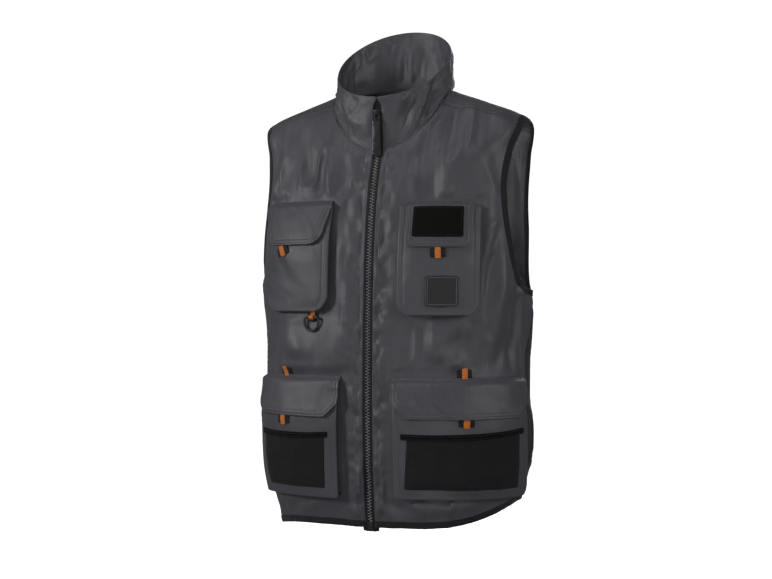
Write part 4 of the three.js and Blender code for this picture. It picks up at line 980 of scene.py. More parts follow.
@dataclass
class Panels:
    """The body's cloth panels: two fronts, two stretch sides and a back over the shoulders."""

    tuck: float = 4.8
    neck_gap: float = 0.2
    side_foot: float = 82.5
    side_top: float = 89.0
    seam_depth: float = 1.2
    seam_width: float = 1.6
    facing_width: float = 9.0
    neck_share: float = 6 / 14
    seam_share: float = 13 / 22

    def __post_init__(self) -> None:
        """Works out the edge under a binding, the side seam's angles and the sewn lines."""
        self.edge = FORM.binding_width + 0.8 - self.tuck
        angles = [self.side_foot, 82.4, 84, self.side_top, self.side_top]
        self.side_curve = Curve([0, 0.5, 0.64, 0.8, 1], angles)
        t = steps(200)
        lines = []
        for side in Side:
            for places in (self.side_seam(side, t), self.back_seam(side, t), self.shoulder_seam(t)):
                angle, z = places
                lines.append(FORM.torso(side.value * angle, z))
        angle = np.linspace(-180, 180, 400)
        neck = FORM.torso(*FORM.neckline(np.abs(angle)))
        neck[:, 0] *= sign_of(angle)
        lines.append(neck)
        self.sewn = np.concatenate(lines)

    def side_seam(self, side: Side, t: Array) -> Places:
        """Places up the front seam of the side panel, by share of its height."""
        top = FORM.armhole(-FORM.armhole_side_turn, self.edge)[1]
        foot = FORM.hemline(side.value * self.side_foot, self.edge)[1]
        return self.side_curve(t), foot + t * (top - foot)

    def back_seam(self, side: Side, t: Array) -> Places:
        """Places up the back seam of the side panel, by share of its height."""
        angle = FORM.back_side_seam
        top = FORM.armhole(FORM.armhole_side_turn, self.edge)[1]
        foot = FORM.hemline(side.value * angle, self.edge)[1]
        return angle + 0 * t, foot + t * (top - foot)

    def shoulder_seam(self, t: Array) -> Places:
        """Places along the forward shoulder seam, from the neckline to the armhole."""
        start = FORM.neckline(FORM.shoulder_seam_angle, self.neck_gap)
        end = FORM.armhole(FORM.armhole_seam_turn, self.edge)
        return tuple(a + t * (b - a) for a, b in zip(start, end))

    def hem_side(self, side: Side, u: Array, start: float, end: float) -> Places:
        """Places along the hem, at shares u of the way from one angle to another."""
        angle = start + u * (end - start)
        return angle, FORM.hemline(side.value * angle, self.edge)[1]

    def front(self, side: Side) -> Places:
        """Places of a front panel between the zip, neckline, shoulder seam, armhole, side seam and hem."""
        un = edged(26, 80, (1.0, 2.0, 3.2, 5.0, 7.0, 8.2, 9.6)) * self.neck_share
        us = self.neck_share + edged(54, 150) * (1 - self.neck_share)
        u = np.concatenate([un[:-1], us])
        vs = edged(96, 370) * self.seam_share
        va = self.seam_share + steps(74) * (1 - self.seam_share)
        v = np.concatenate([vs[:-1], va])
        start = FORM.angle_at(FRONT_EDGE, FORM.neckline(0.0, self.neck_gap)[1])
        neck_turns = start + un / self.neck_share * (FORM.shoulder_seam_angle - start)
        top = joined(
            FORM.neckline(neck_turns, self.neck_gap),
            self.shoulder_seam((us - self.neck_share) / (1 - self.neck_share)),
        )
        turns = np.interp(va, [self.seam_share, 1], [-FORM.armhole_side_turn, FORM.armhole_seam_turn])
        arm_angle, arm_z = FORM.armhole(turns, self.edge)
        arm_angle = arm_angle + (self.side_top - arm_angle[0]) * bell(va - self.seam_share, 0.02)
        right = joined(self.side_seam(side, vs / self.seam_share), (arm_angle, arm_z))
        foot = FORM.hemline(0.0, self.edge)[1]
        rise = (right[1] - right[1][0]) / (right[1][-1] - right[1][0])
        left_z = foot + rise * (top[1][0] - foot)
        left = (FORM.angle_at(FRONT_EDGE, left_z), left_z)
        low = self.hem_side(side, u, left[0][0], right[0][0])
        return mirrored(patch(u, v, (low, top, left, right)), side)

    def side(self, side: Side) -> Places:
        """Places of a side panel between its two seams, the hem and the foot of the armhole."""
        u, v = edged(22, 95), edged(96, 370)
        left, right = self.side_seam(side, v), self.back_seam(side, v)
        turns = -FORM.armhole_side_turn + u * (2 * FORM.armhole_side_turn - 2)
        top_angle, top_z = FORM.armhole(turns, self.edge)
        goal = left[0][-1] + u * (right[0][-1] - left[0][-1])
        top = (goal, top_z)
        right = (right[0], np.interp(v, [0, 1], [right[1][0], top_z[-1]]))
        left = (left[0], np.interp(v, [0, 1], [left[1][0], top_z[0]]))
        low = self.hem_side(side, u, left[0][0], right[0][0])
        return mirrored(patch(u, v, (low, top, left, right)), side)

    def split(self, t: Array) -> Places:
        """Places from the armhole to the neckline where the strap meets the back."""
        inner = FORM.neckline(FORM.shoulder_back_angle, self.neck_gap)
        outer = FORM.armhole(FORM.armhole_strap_turn, self.edge)
        return tuple(a + t * (b - a) for a, b in zip(outer, inner))

    def strap(self, side: Side) -> Places:
        """Places over a shoulder, from the forward seam to the back."""
        u, v = edged(56, 190), edged(34, 120)
        turns = FORM.armhole_seam_turn + u * (FORM.armhole_strap_turn - FORM.armhole_seam_turn)
        arm = FORM.armhole(turns, self.edge)
        turns = FORM.shoulder_seam_angle + u * (FORM.shoulder_back_angle - FORM.shoulder_seam_angle)
        neck = FORM.neckline(turns, self.neck_gap)
        return mirrored(patch(u, v, (arm, neck, self.shoulder_seam(1 - v), self.split(v))), side)

    def half_back(self, side: Side) -> Places:
        """Places of half the back below the strap, from the side seam to the centre line."""
        u, out = edged(54, 200), edged(34, 120)
        up, arm = edged(96, 370), steps(70)
        turns = FORM.armhole_side_turn + arm * (FORM.armhole_strap_turn - FORM.armhole_side_turn)
        arm_angle, arm_z = FORM.armhole(turns, self.edge)
        arm_angle = arm_angle + (FORM.back_side_seam - arm_angle[0]) * bell(arm, 0.03)
        seam = self.back_seam(side, up)
        level = self.back_seam(Side.LEFT, up)[1] - self.back_seam(Side.LEFT, up[:1])[1][0]
        base = FORM.hemline(180.0, self.edge)[1]
        crown = FORM.neckline(180.0, self.neck_gap)[1]
        left = joined(joined(seam, (arm_angle, arm_z)), self.split(out))
        neutral = base + level * (arm_z[0] - base) / level[-1]
        heights = np.concatenate([neutral[:-1], arm_z[:-1], self.split(out)[1]])
        centre_z = base + (heights - base) * (crown - base) / (heights[-1] - base)
        centre = (180.0 + 0 * centre_z, centre_z)
        v = np.concatenate([up[:-1] * 13, 13 + arm[:-1] * 9, 22 + out * 4]) / 26
        low = self.hem_side(side, u, left[0][0], 180.0)
        turns = FORM.shoulder_back_angle + u * (180.0 - FORM.shoulder_back_angle)
        top = FORM.neckline(turns, self.neck_gap)
        return mirrored(patch(u, v, (low, top, left, centre)), side)

    def skin(self, angle: Array, z: Array) -> Array:
        """Points of a panel's middle layer, turned in at its sewn edges, thicker along the zip."""
        bare = FORM.torso(angle, z)
        dip = self.seam_depth * bell(distance_to(bare, self.sewn), self.seam_width)
        across = np.abs(FORM.flat(angle, z)[..., 0])
        ahead = np.abs(angle) < 60
        beside = np.where(ahead, across - FRONT_EDGE, 99.0)
        facing = 0.45 * ease((self.facing_width - beside) / 1.2)
        grooves = 0.3 * (bell(beside - 2.0, 0.8) + bell(beside - 8.2, 0.8))
        return FORM.skin(angle, z, facing - grooves - dip)

    def cloth(self, places: Sequence[Places], behind: bool) -> Piece:
        """One layer over several grids of places, welded where they share edges.

        Args:
            places: grids of angles and heights.
            behind: whether cloth coordinates are measured from the middle of the back.

        Returns:
            The single layer.
        """
        points, flats, faces, start = [], [], [], 0
        for angle, z in places:
            flat = FORM.flat(angle, z)
            if behind:
                whole = FORM.flat(179.999 + 0 * z, z)[..., 0]
                flat[..., 0] = sign_of(angle) * (np.abs(flat[..., 0]) - whole)
            ids = start + np.arange(angle.size).reshape(angle.shape)
            start += angle.size
            points.append(self.skin(angle, z).reshape(-1, 3))
            flats.append(flat.reshape(-1, 2))
            faces.append(cells(ids))
        points, flats = np.concatenate(points), np.concatenate(flats)
        _, first, back = np.unique(np.round(points, 2), axis=0, return_index=True, return_inverse=True)
        back = back.ravel()
        return Piece().add(points[first], [back[f] for f in faces], flats[first])

    def dress(self, finishes: Finishes) -> None:
        """Builds and dresses the five panels and their topstitching.

        Args:
            finishes: the vest's finishes.
        """
        for side in Side:
            for made, name, finish, flat in (
                (self.front(side), "front", finishes.ripstop, (0.29, 0.68)),
                (self.side(side), "side", finishes.stretch, (0.1, 0.39)),
            ):
                dress = Dress(f"{name}_cloth_{side.word}", finish, (f"{name}_panel_{side.word}",))
                self.thicken(dress.put(self.cloth([made], False)), flat, FORM.cloth)
        parts = [self.strap(Side.LEFT), self.half_back(Side.LEFT)]
        parts += [self.strap(Side.RIGHT), self.half_back(Side.RIGHT)]
        back = Dress("back_cloth", finishes.ripstop, ("back_panel",)).put(self.cloth(parts, True))
        self.thicken(back, (0.66, 0.86), FORM.cloth)
        Dress("seam_stitches", finishes.thread, ()).put(self.stitches())

    def thicken(self, made: bpy.types.Object, flat: Pair, cloth: float) -> None:
        """Args:
            made: the single layer.
            flat: width and length of the rectangle that it is cut from, in metres.
            cloth: its thickness.
        """
        solid = made.modifiers.new("thickness", "SOLIDIFY")
        solid.thickness = cloth * MM
        solid.offset = 0.0
        solid.use_even_offset = False
        mesh = made.data
        area = sum(p.area for p in mesh.polygons)
        area = min(max(area, 0.3 * flat[0] * flat[1]), flat[0] * flat[1])

    def stitches(self) -> Piece:
        """Topstitching beside the zip, along the side, back and shoulder seams, and round the neckline."""
        piece, thread = Piece(), Thread()
        t = steps(300)
        for side in Side:
            sign = side.value
            foot, top = -FORM.body_length + 3.0, FORM.neckline(0.0, -2.0)[1]
            z = foot + t * (top - foot)
            for d in (2.0, 8.2):
                self.sew(piece, thread, FORM.angle_at(sign * (FRONT_EDGE + d), z), z)
            angle, z = self.side_seam(side, t)
            for d in (-1.4, 3.2):
                self.sew(piece, thread, sign * (angle - d / 3.6), z)
            angle, z = self.back_seam(side, t)
            self.sew(piece, thread, sign * (angle + 0.9), z)
            angle, z = self.shoulder_seam(t)
            travel = np.gradient(FORM.torso(angle, z), axis=0)
            for d in (3.0, 9.0):
                a, b = FORM.aside(angle, z, travel, d)
                self.sew(piece, thread, sign * a[6:-6], b[6:-6])
            a = np.linspace(3.5, 178.0, 500)
            neck = FORM.neckline(a, -2.4)
            self.sew(piece, thread, sign * neck[0], neck[1])
        return piece

    def sew(self, piece: Piece, thread: Thread, angle: Array, z: Array) -> None:
        """Sews one line of stitches on the panels' outer face."""
        lift = self.skin(angle, z) - FORM.skin(angle, z)
        normal = FORM.frame_at(angle, z)[2]
        line = FORM.skin(angle, z, FORM.cloth / 2) + lift
        thread.sew(piece, line, normal)


def tone(red: float, green: float, blue: float) -> tuple[float, float, float, float]:
    """Linear colour from sRGB values of 0 to 255."""
    shares = [v / 255.0 for v in (red, green, blue)]
    linear = [v / 12.92 if v <= 0.04045 else ((v + 0.055) / 1.055) ** 2.4 for v in shares]
    return (*linear, 1.0)


class Shader:
    """A node tree in the making, that ends in one Principled surface."""

    def __init__(self, name: str) -> None:
        """Starts a material with its default nodes."""
        self.material = bpy.data.materials.new(name)
        self.material.use_nodes = True
        self.tree = self.material.node_tree
        self.surface = self.tree.nodes["Principled BSDF"]

    def feed(self, socket: Socket, value: object) -> None:
        """Links a socket to an input, or sets the input's own value."""
        if isinstance(value, Socket):
            self.tree.links.new(value, socket)
        else:
            socket.default_value = value

    def node(self, kind: str, inputs: Inputs | None = None, **settings: object) -> bpy.types.Node:
        """Adds a node.

        Args:
            kind: the node's type.
            inputs: values or sockets for its inputs.
            settings: the node's own settings.

        Returns:
            The node.
        """
        made = self.tree.nodes.new(kind)
        for key, value in settings.items():
            setattr(made, key, value)
        for key, value in (inputs or {}).items():
            self.feed(made.inputs[key], value)
        return made

    def math(self, operation: str, *values: object) -> Socket:
        """Adds a sum of numbers and returns its output."""
        made = self.node("ShaderNodeMath", operation=operation)
        for socket, value in zip(made.inputs, values):
            self.feed(socket, value)
        return made.outputs[0]

    def about(self, value: object, middle: float, factor: float) -> Socket:
        """Adds the sum (value - middle) * factor and returns its output."""
        return self.math("MULTIPLY", self.math("SUBTRACT", value, middle), factor)

    def mix(self, share: object, low: object, high: object) -> Socket:
        """Adds a blend of two colours and returns its output."""
        made = self.node("ShaderNodeMix", {0: share, 6: low, 7: high}, data_type="RGBA")
        return made.outputs[2]

    def noise(self, where: object, scale: float, detail: float = 2.0) -> Socket:
        """Adds noise over coordinates in metres, its scale in cells a metre."""
        inputs = {"Vector": where, "Scale": scale, "Detail": detail}
        return self.node("ShaderNodeTexNoise", inputs).outputs[0]

    def ridges(self, run: object, pitch: float, sharp: float) -> Socket:
        """Ridges across a coordinate in metres.

        Args:
            run: the coordinate.
            pitch: distance between ridges in millimetres.
            sharp: power that narrows them.

        Returns:
            A socket from 0 to 1.
        """
        turn = self.math("MULTIPLY", run, math.pi / (pitch * MM))
        return self.math("POWER", self.math("ABSOLUTE", self.math("COSINE", turn)), sharp)


class Weave(Enum):
    """How a cloth's surface is laid out."""

    RIDGES = "ridges along the cloth, and fainter ones across"
    BASKET = "over and under"
    CELLS = "round holes or dots"
    GRAIN = "moulded grain"


@dataclass(frozen=True)
class Finish:
    """A surface: colour in sRGB, weave with its pitches and relief in millimetres, and shine."""

    name: str
    slot: str
    colour: tuple[float, float, float]
    weave: Weave
    pitch: Pair
    relief: float
    tint: float
    rough: float = 0.8
    sheen: float = 0.1
    specular: float = 0.35
    clouds: float = 0.1
    sharp: float = 4.0
    slope: float = 0.0

    def material(self) -> bpy.types.Material:
        """The finish's material, built the first time."""
        return bpy.data.materials.get(self.name) or self.build()

    def pattern(self, shader: Shader) -> Socket:
        """The weave's height from 0 to 1 over the cloth's own coordinates."""
        flat = shader.node("ShaderNodeUVMap", uv_map="cloth").outputs[0]
        if self.weave is Weave.GRAIN:
            where = shader.node("ShaderNodeTexCoord").outputs["Object"]
            return shader.noise(where, 1 / (self.pitch[0] * MM), 3.0)
        parts = shader.node("ShaderNodeSeparateXYZ", {0: flat}).outputs
        u = shader.math("ADD", parts[0], shader.math("MULTIPLY", parts[1], self.slope))
        if self.weave is Weave.CELLS:
            runs = enumerate((u, parts[1]))
            shares = {k: shader.math("DIVIDE", run, self.pitch[k] * MM) for k, run in runs}
            squeezed = shader.node("ShaderNodeCombineXYZ", shares).outputs[0]
            inputs = {"Vector": squeezed, "Scale": 1.0, "Randomness": 0.35}
            cell = shader.node("ShaderNodeTexVoronoi", inputs, voronoi_dimensions="2D")
            return shader.math("POWER", cell.outputs["Distance"], 1.5)
        first = shader.ridges(u, self.pitch[0], self.sharp)
        second = shader.ridges(parts[1], self.pitch[1], self.sharp)
        if self.weave is Weave.BASKET:
            return shader.math("ABSOLUTE", shader.math("SUBTRACT", first, second))
        return shader.math("MAXIMUM", first, shader.math("MULTIPLY", second, 0.25))

    def build(self) -> bpy.types.Material:
        """Builds the node tree: weave, broad and fine colour variation, relief and sheen."""
        shader = Shader(self.name)
        where = shader.node("ShaderNodeTexCoord").outputs["Object"]
        weave = self.pattern(shader)
        broad = shader.noise(where, 14.0, 3.0)
        fine = shader.noise(where, 420.0, 2.0)
        speckle = shader.noise(where, 1500.0, 1.0)
        worn = shader.math("ADD", shader.math("MULTIPLY", broad, 0.6), shader.math("MULTIPLY", fine, 0.4))
        patches = shader.about(worn, 0.5, 4 * self.clouds)
        share = shader.math("ADD", shader.about(weave, 0.4, self.tint), patches)
        share = shader.math("ADD", share, shader.about(speckle, 0.5, 0.25))
        red, green, blue = self.colour
        dark = tone(red * 0.72, green * 0.72, blue * 0.72)
        light = tone(min(red * 1.25 + 4, 255), min(green * 1.25 + 4, 255), min(blue * 1.25 + 4, 255))
        surface = shader.surface.inputs
        held = shader.node("ShaderNodeClamp", {0: shader.math("ADD", share, 0.5)}).outputs[0]
        shader.feed(surface["Base Color"], shader.mix(held, dark, light))
        rough = shader.math("MULTIPLY_ADD", shader.math("SUBTRACT", worn, 0.5), 0.3, self.rough)
        shader.feed(surface["Roughness"], rough)
        shader.feed(surface["Specular IOR Level"], self.specular)
        shader.feed(surface["Sheen Weight"], self.sheen)
        shader.feed(surface["Sheen Roughness"], 0.45)
        height = shader.math("MULTIPLY_ADD", fine, 0.5, weave)
        inputs = {"Height": height, "Distance": self.relief * MM, "Strength": 1.0}
        shader.feed(surface["Normal"], shader.node("ShaderNodeBump", inputs).outputs[0])
        return shader.material


@dataclass(frozen=True)
class Finishes:
    """Every surface of the vest. The cloth is a grey ripstop; its trims are near black."""

    ripstop: Finish = Finish(
        "ripstop", "ripstop_cloth", (70, 68, 74), Weave.RIDGES, (3.2, 3.6), 0.12, 0.22,
        rough=0.5, sheen=0.05, specular=0.5, clouds=0.13, sharp=9.0,
    )
    stretch: Finish = Finish(
        "stretch", "stretch_cloth", (44, 43, 44), Weave.RIDGES, (1.5, 2.2), 0.14, 0.3,
        rough=0.85, sheen=0.15, clouds=0.1, slope=0.5,
    )
    tape: Finish = Finish(
        "tape", "binding_tape", (21, 21, 22), Weave.RIDGES, (1.3, 2.6), 0.22, 0.4,
        rough=0.75, sheen=0.15, clouds=0.1, sharp=2.0,
    )
    mesh: Finish = Finish(
        "mesh", "knit_mesh", (28, 27, 27), Weave.CELLS, (1.9, 2.5), 0.5, -1.1,
        rough=0.9, sheen=0.06, specular=0.2, clouds=0.08,
    )
    hook: Finish = Finish(
        "hook", "hook_tape", (15, 14, 13), Weave.CELLS, (1.5, 1.5), 0.7, -0.6,
        rough=0.95, sheen=0.06, specular=0.08, clouds=0.2,
    )
    webbing: Finish = Finish(
        "webbing", "black_webbing", (20, 20, 21), Weave.BASKET, (1.7, 2.1), 0.3, 0.5,
        rough=0.7, sheen=0.12, clouds=0.06, sharp=1.5,
    )
    trim: Finish = Finish(
        "trim", "black_webbing", (13, 13, 13), Weave.BASKET, (1.7, 2.1), 0.3, 0.4,
        rough=0.9, sheen=0.03, specular=0.15, clouds=0.06, sharp=1.5,
    )
    orange: Finish = Finish(
        "orange", "orange_webbing", (214, 116, 48), Weave.BASKET, (1.4, 1.7), 0.3, 0.35,
        rough=0.7, sheen=0.1, clouds=0.1, sharp=1.5,
    )
    moulding: Finish = Finish(
        "moulding", "black_moulding", (24, 24, 24), Weave.GRAIN, (0.8, 0.8), 0.06, 0.2,
        rough=0.42, sheen=0.0, specular=0.5, clouds=0.08,
    )
    # The teeth are black moulding; this pale grey colour is painted highlight, standing in for the glints
    # on each tooth's head.
    teeth: Finish = Finish(
        "teeth", "black_moulding", (128, 128, 130), Weave.GRAIN, (1.2, 1.2), 0.05, 0.2,
        rough=0.22, sheen=0.0, specular=0.8, clouds=0.08,
    )
    badge: Finish = Finish(
        "badge", "badge_rubber", (36, 36, 38), Weave.GRAIN, (0.6, 0.6), 0.12, 0.3,
        rough=0.62, sheen=0.0, specular=0.4, clouds=0.08,
    )
    frame: Finish = Finish(
        "badge_rim", "badge_rubber", (96, 96, 98), Weave.GRAIN, (0.6, 0.6), 0.1, 0.2,
        rough=0.58, sheen=0.0, specular=0.4, clouds=0.08,
    )
    thread: Finish = Finish(
        "thread", "ripstop_cloth", (58, 58, 62), Weave.RIDGES, (0.5, 0.7), 0.08, 0.3,
        rough=0.6, sheen=0.1, clouds=0.05,
    )
    dark_thread: Finish = Finish(
        "dark_thread", "binding_tape", (34, 34, 36), Weave.RIDGES, (0.5, 0.7), 0.08, 0.3,
        rough=0.6, sheen=0.1, clouds=0.05,
    )


def declare(made: bpy.types.Object, piece: Piece, layers: int = 1) -> None:
    """Works out the size of the rectangle that a piece is cut from, but keeps it nowhere.

    Its cut is the rectangle round its cloth coordinates, with seam allowance.

    Args:
        made: the Blender object.
        piece: the mesh it was written from.
        layers: layers of the cloth in the mesh, 2 for a closed wall.
    """
    flat = np.concatenate(piece.flat) * MM
    area = sum(p.area for p in made.data.polygons) / layers
    wide, tall = (float(v) + 0.02 for v in flat.max(axis=0) - flat.min(axis=0))
    wide = math.ceil(wide * 1000) / 1000
    tall = math.ceil(max(tall, area / wide) * 1000 + 1) / 1000


def rounded_box(wide: float, tall: float, radius: float, cuts: int = 5) -> Array:
    """Outline of a rectangle with round corners, anticlockwise, from its lower right."""
    turn = np.linspace(0, math.pi / 2, cuts)
    arcs = []
    for k, (sx, sy) in enumerate(((1, -1), (1, 1), (-1, 1), (-1, -1))):
        a = turn + (k - 1) * math.pi / 2
        centre = np.array([sx * (wide / 2 - radius), sy * (tall / 2 - radius)])
        arcs.append(centre + radius * pack(np.cos(a), np.sin(a)))
    return np.concatenate(arcs)


def slab(piece: Piece, outline: Array, low: float, high: float, bevel: float, place: Placer) -> None:
    """Adds a flat solid with bevelled edges.

    Args:
        piece: the piece it joins.
        outline: a convex outline.
        low: its lower face.
        high: its upper face.
        bevel: size of the rounding at both faces.
        place: turns points of outline and height into points of the frame.
    """
    inward = inward_of(outline)
    shares = ((1.0, 0.0), (0.3, 0.3), (0.0, 1.0))
    levels = [(s, low + h * bevel) for s, h in shares] + [(s, high - h * bevel) for s, h in shares[::-1]]
    rings = [pack(*(outline + inward * bevel * s).T, h) for s, h in levels]
    tube(place(np.stack(rings)), False, piece=piece)


def facing(middle: Array) -> Placer:
    """Places a slab at a point, its outline across and up and its height out of the front."""
    return lambda p: middle + pack(p[..., 0], -p[..., 2], p[..., 1])


def sweep(piece: Piece, path: Array, across: Array, section: Array, closed: bool) -> None:
    """Adds a solid with one section along a flat path.

    Args:
        piece: the piece it joins.
        path: its points, in a plane.
        across: the plane's normal.
        section: outline as distances along that normal and away from the path.
        closed: whether the path joins up.
    """
    if closed:
        ahead = unit(np.roll(path, -1, axis=0) - np.roll(path, 1, axis=0))
    else:
        ahead = unit(np.gradient(path, axis=0))
    out = unit(np.cross(ahead, across))
    rings = path[:, None] + section[None, :, :1] * across + section[None, :, 1:] * out[:, None]
    tube(rings, closed, piece=piece)


def disc(radius: float, sides: int = 12) -> Array:
    """Points round a circle."""
    turn = np.arange(sides) * 2 * math.pi / sides
    return radius * pack(np.cos(turn), np.sin(turn))


@dataclass(frozen=True)
class Bindings:
    """Folded tape over the armholes' and the hem's edges, with a line of stitches."""

    profile: tuple[Pair, ...] = (
        (0, 0), (0.35, 0.95), (1.0, 1.5), (2.0, 1.75), (4.0, 1.72), (6.0, 1.7), (7.6, 1.62), (8.3, 1.34),
        (9.0, 1.6), (10.0, 1.55), (10.7, 1.3), (11.0, 0.8),
        (11.0, -0.8), (10.0, -1.5), (6.0, -1.75), (2.0, -1.75), (1.0, -1.5), (0.35, -0.95),
    )
    seam: float = 8.3
    wrinkle: float = 0.35

    def rings(self, line: Line, turns: Array, sign: int) -> Array:
        """Rings of the profile along an edge.

        Args:
            line: gives places along the edge, moved in over the cloth.
            turns: where the rings are.
            sign: 1 for the wearer's left, -1 for the mirror image.

        Returns:
            Points by ring and by place round the profile.
        """
        profile = np.array(self.profile)
        angle, z = line(turns[:, None], profile[None, :, 0])
        ripple = self.wrinkle * NOISE.cloud(turns[:, None] * 2.3 + 9.0, profile[None, :, 0] / 9.0)
        swell = 1 + 0.12 * NOISE.at(turns * 1.1 + 3.0, turns * 0)[:, None]
        return FORM.skin(sign * angle, z, profile[None, :, 1] * swell + ripple)

    def lay(self, piece: Piece, line: Line, turns: Array, sign: int, closed: bool) -> None:
        """Adds the tape along an edge, its cloth coordinates along and across it."""
        rings = self.rings(line, turns, sign)
        run = run_of(rings[:, 0])
        wide = np.array(self.profile)[:, 0]
        flat = pack(run[:, None], wide[None, :])
        tube(rings, closed, flat, piece)

    def sewn(self, piece: Piece, line: Line, turns: Array, sign: int) -> None:
        """Adds the line of stitches that holds it."""
        angle, z = line(turns, self.seam)
        path = FORM.skin(sign * angle, z, 1.42)
        Thread().sew(piece, path, FORM.frame_at(sign * angle, z)[2])

    def dress(self, finishes: Finishes) -> None:
        """Builds both armhole bindings and the hem binding."""
        turns = np.linspace(-1, 1, 331)[:-1]
        threads = Piece()
        for side in Side:
            piece = Piece()
            self.lay(piece, FORM.armhole, turns, side.value, True)
            name = f"armhole_tape_{side.word}"
            Dress(name, finishes.tape, (f"armhole_binding_{side.word}",)).put(piece)
            self.sewn(threads, FORM.armhole, np.linspace(-1, 1, 500), side.value)
        start = float(FORM.angle_at(np.array([FRONT_EDGE]), np.array([-FORM.body_length]))[0])
        around = np.linspace(start, 360 - start, 520)
        piece = Piece()
        self.lay(piece, FORM.hemline, around, 1, False)
        nodes = tuple(f"hem_binding_{part}_{side.word}" for part in ("front", "back") for side in Side)
        Dress("hem_tape", finishes.tape, nodes).put(piece)
        self.sewn(threads, FORM.hemline, np.linspace(start + 0.4, 359.6 - start, 900), 1)
        Dress("binding_stitches", finishes.dark_thread, ()).put(threads)


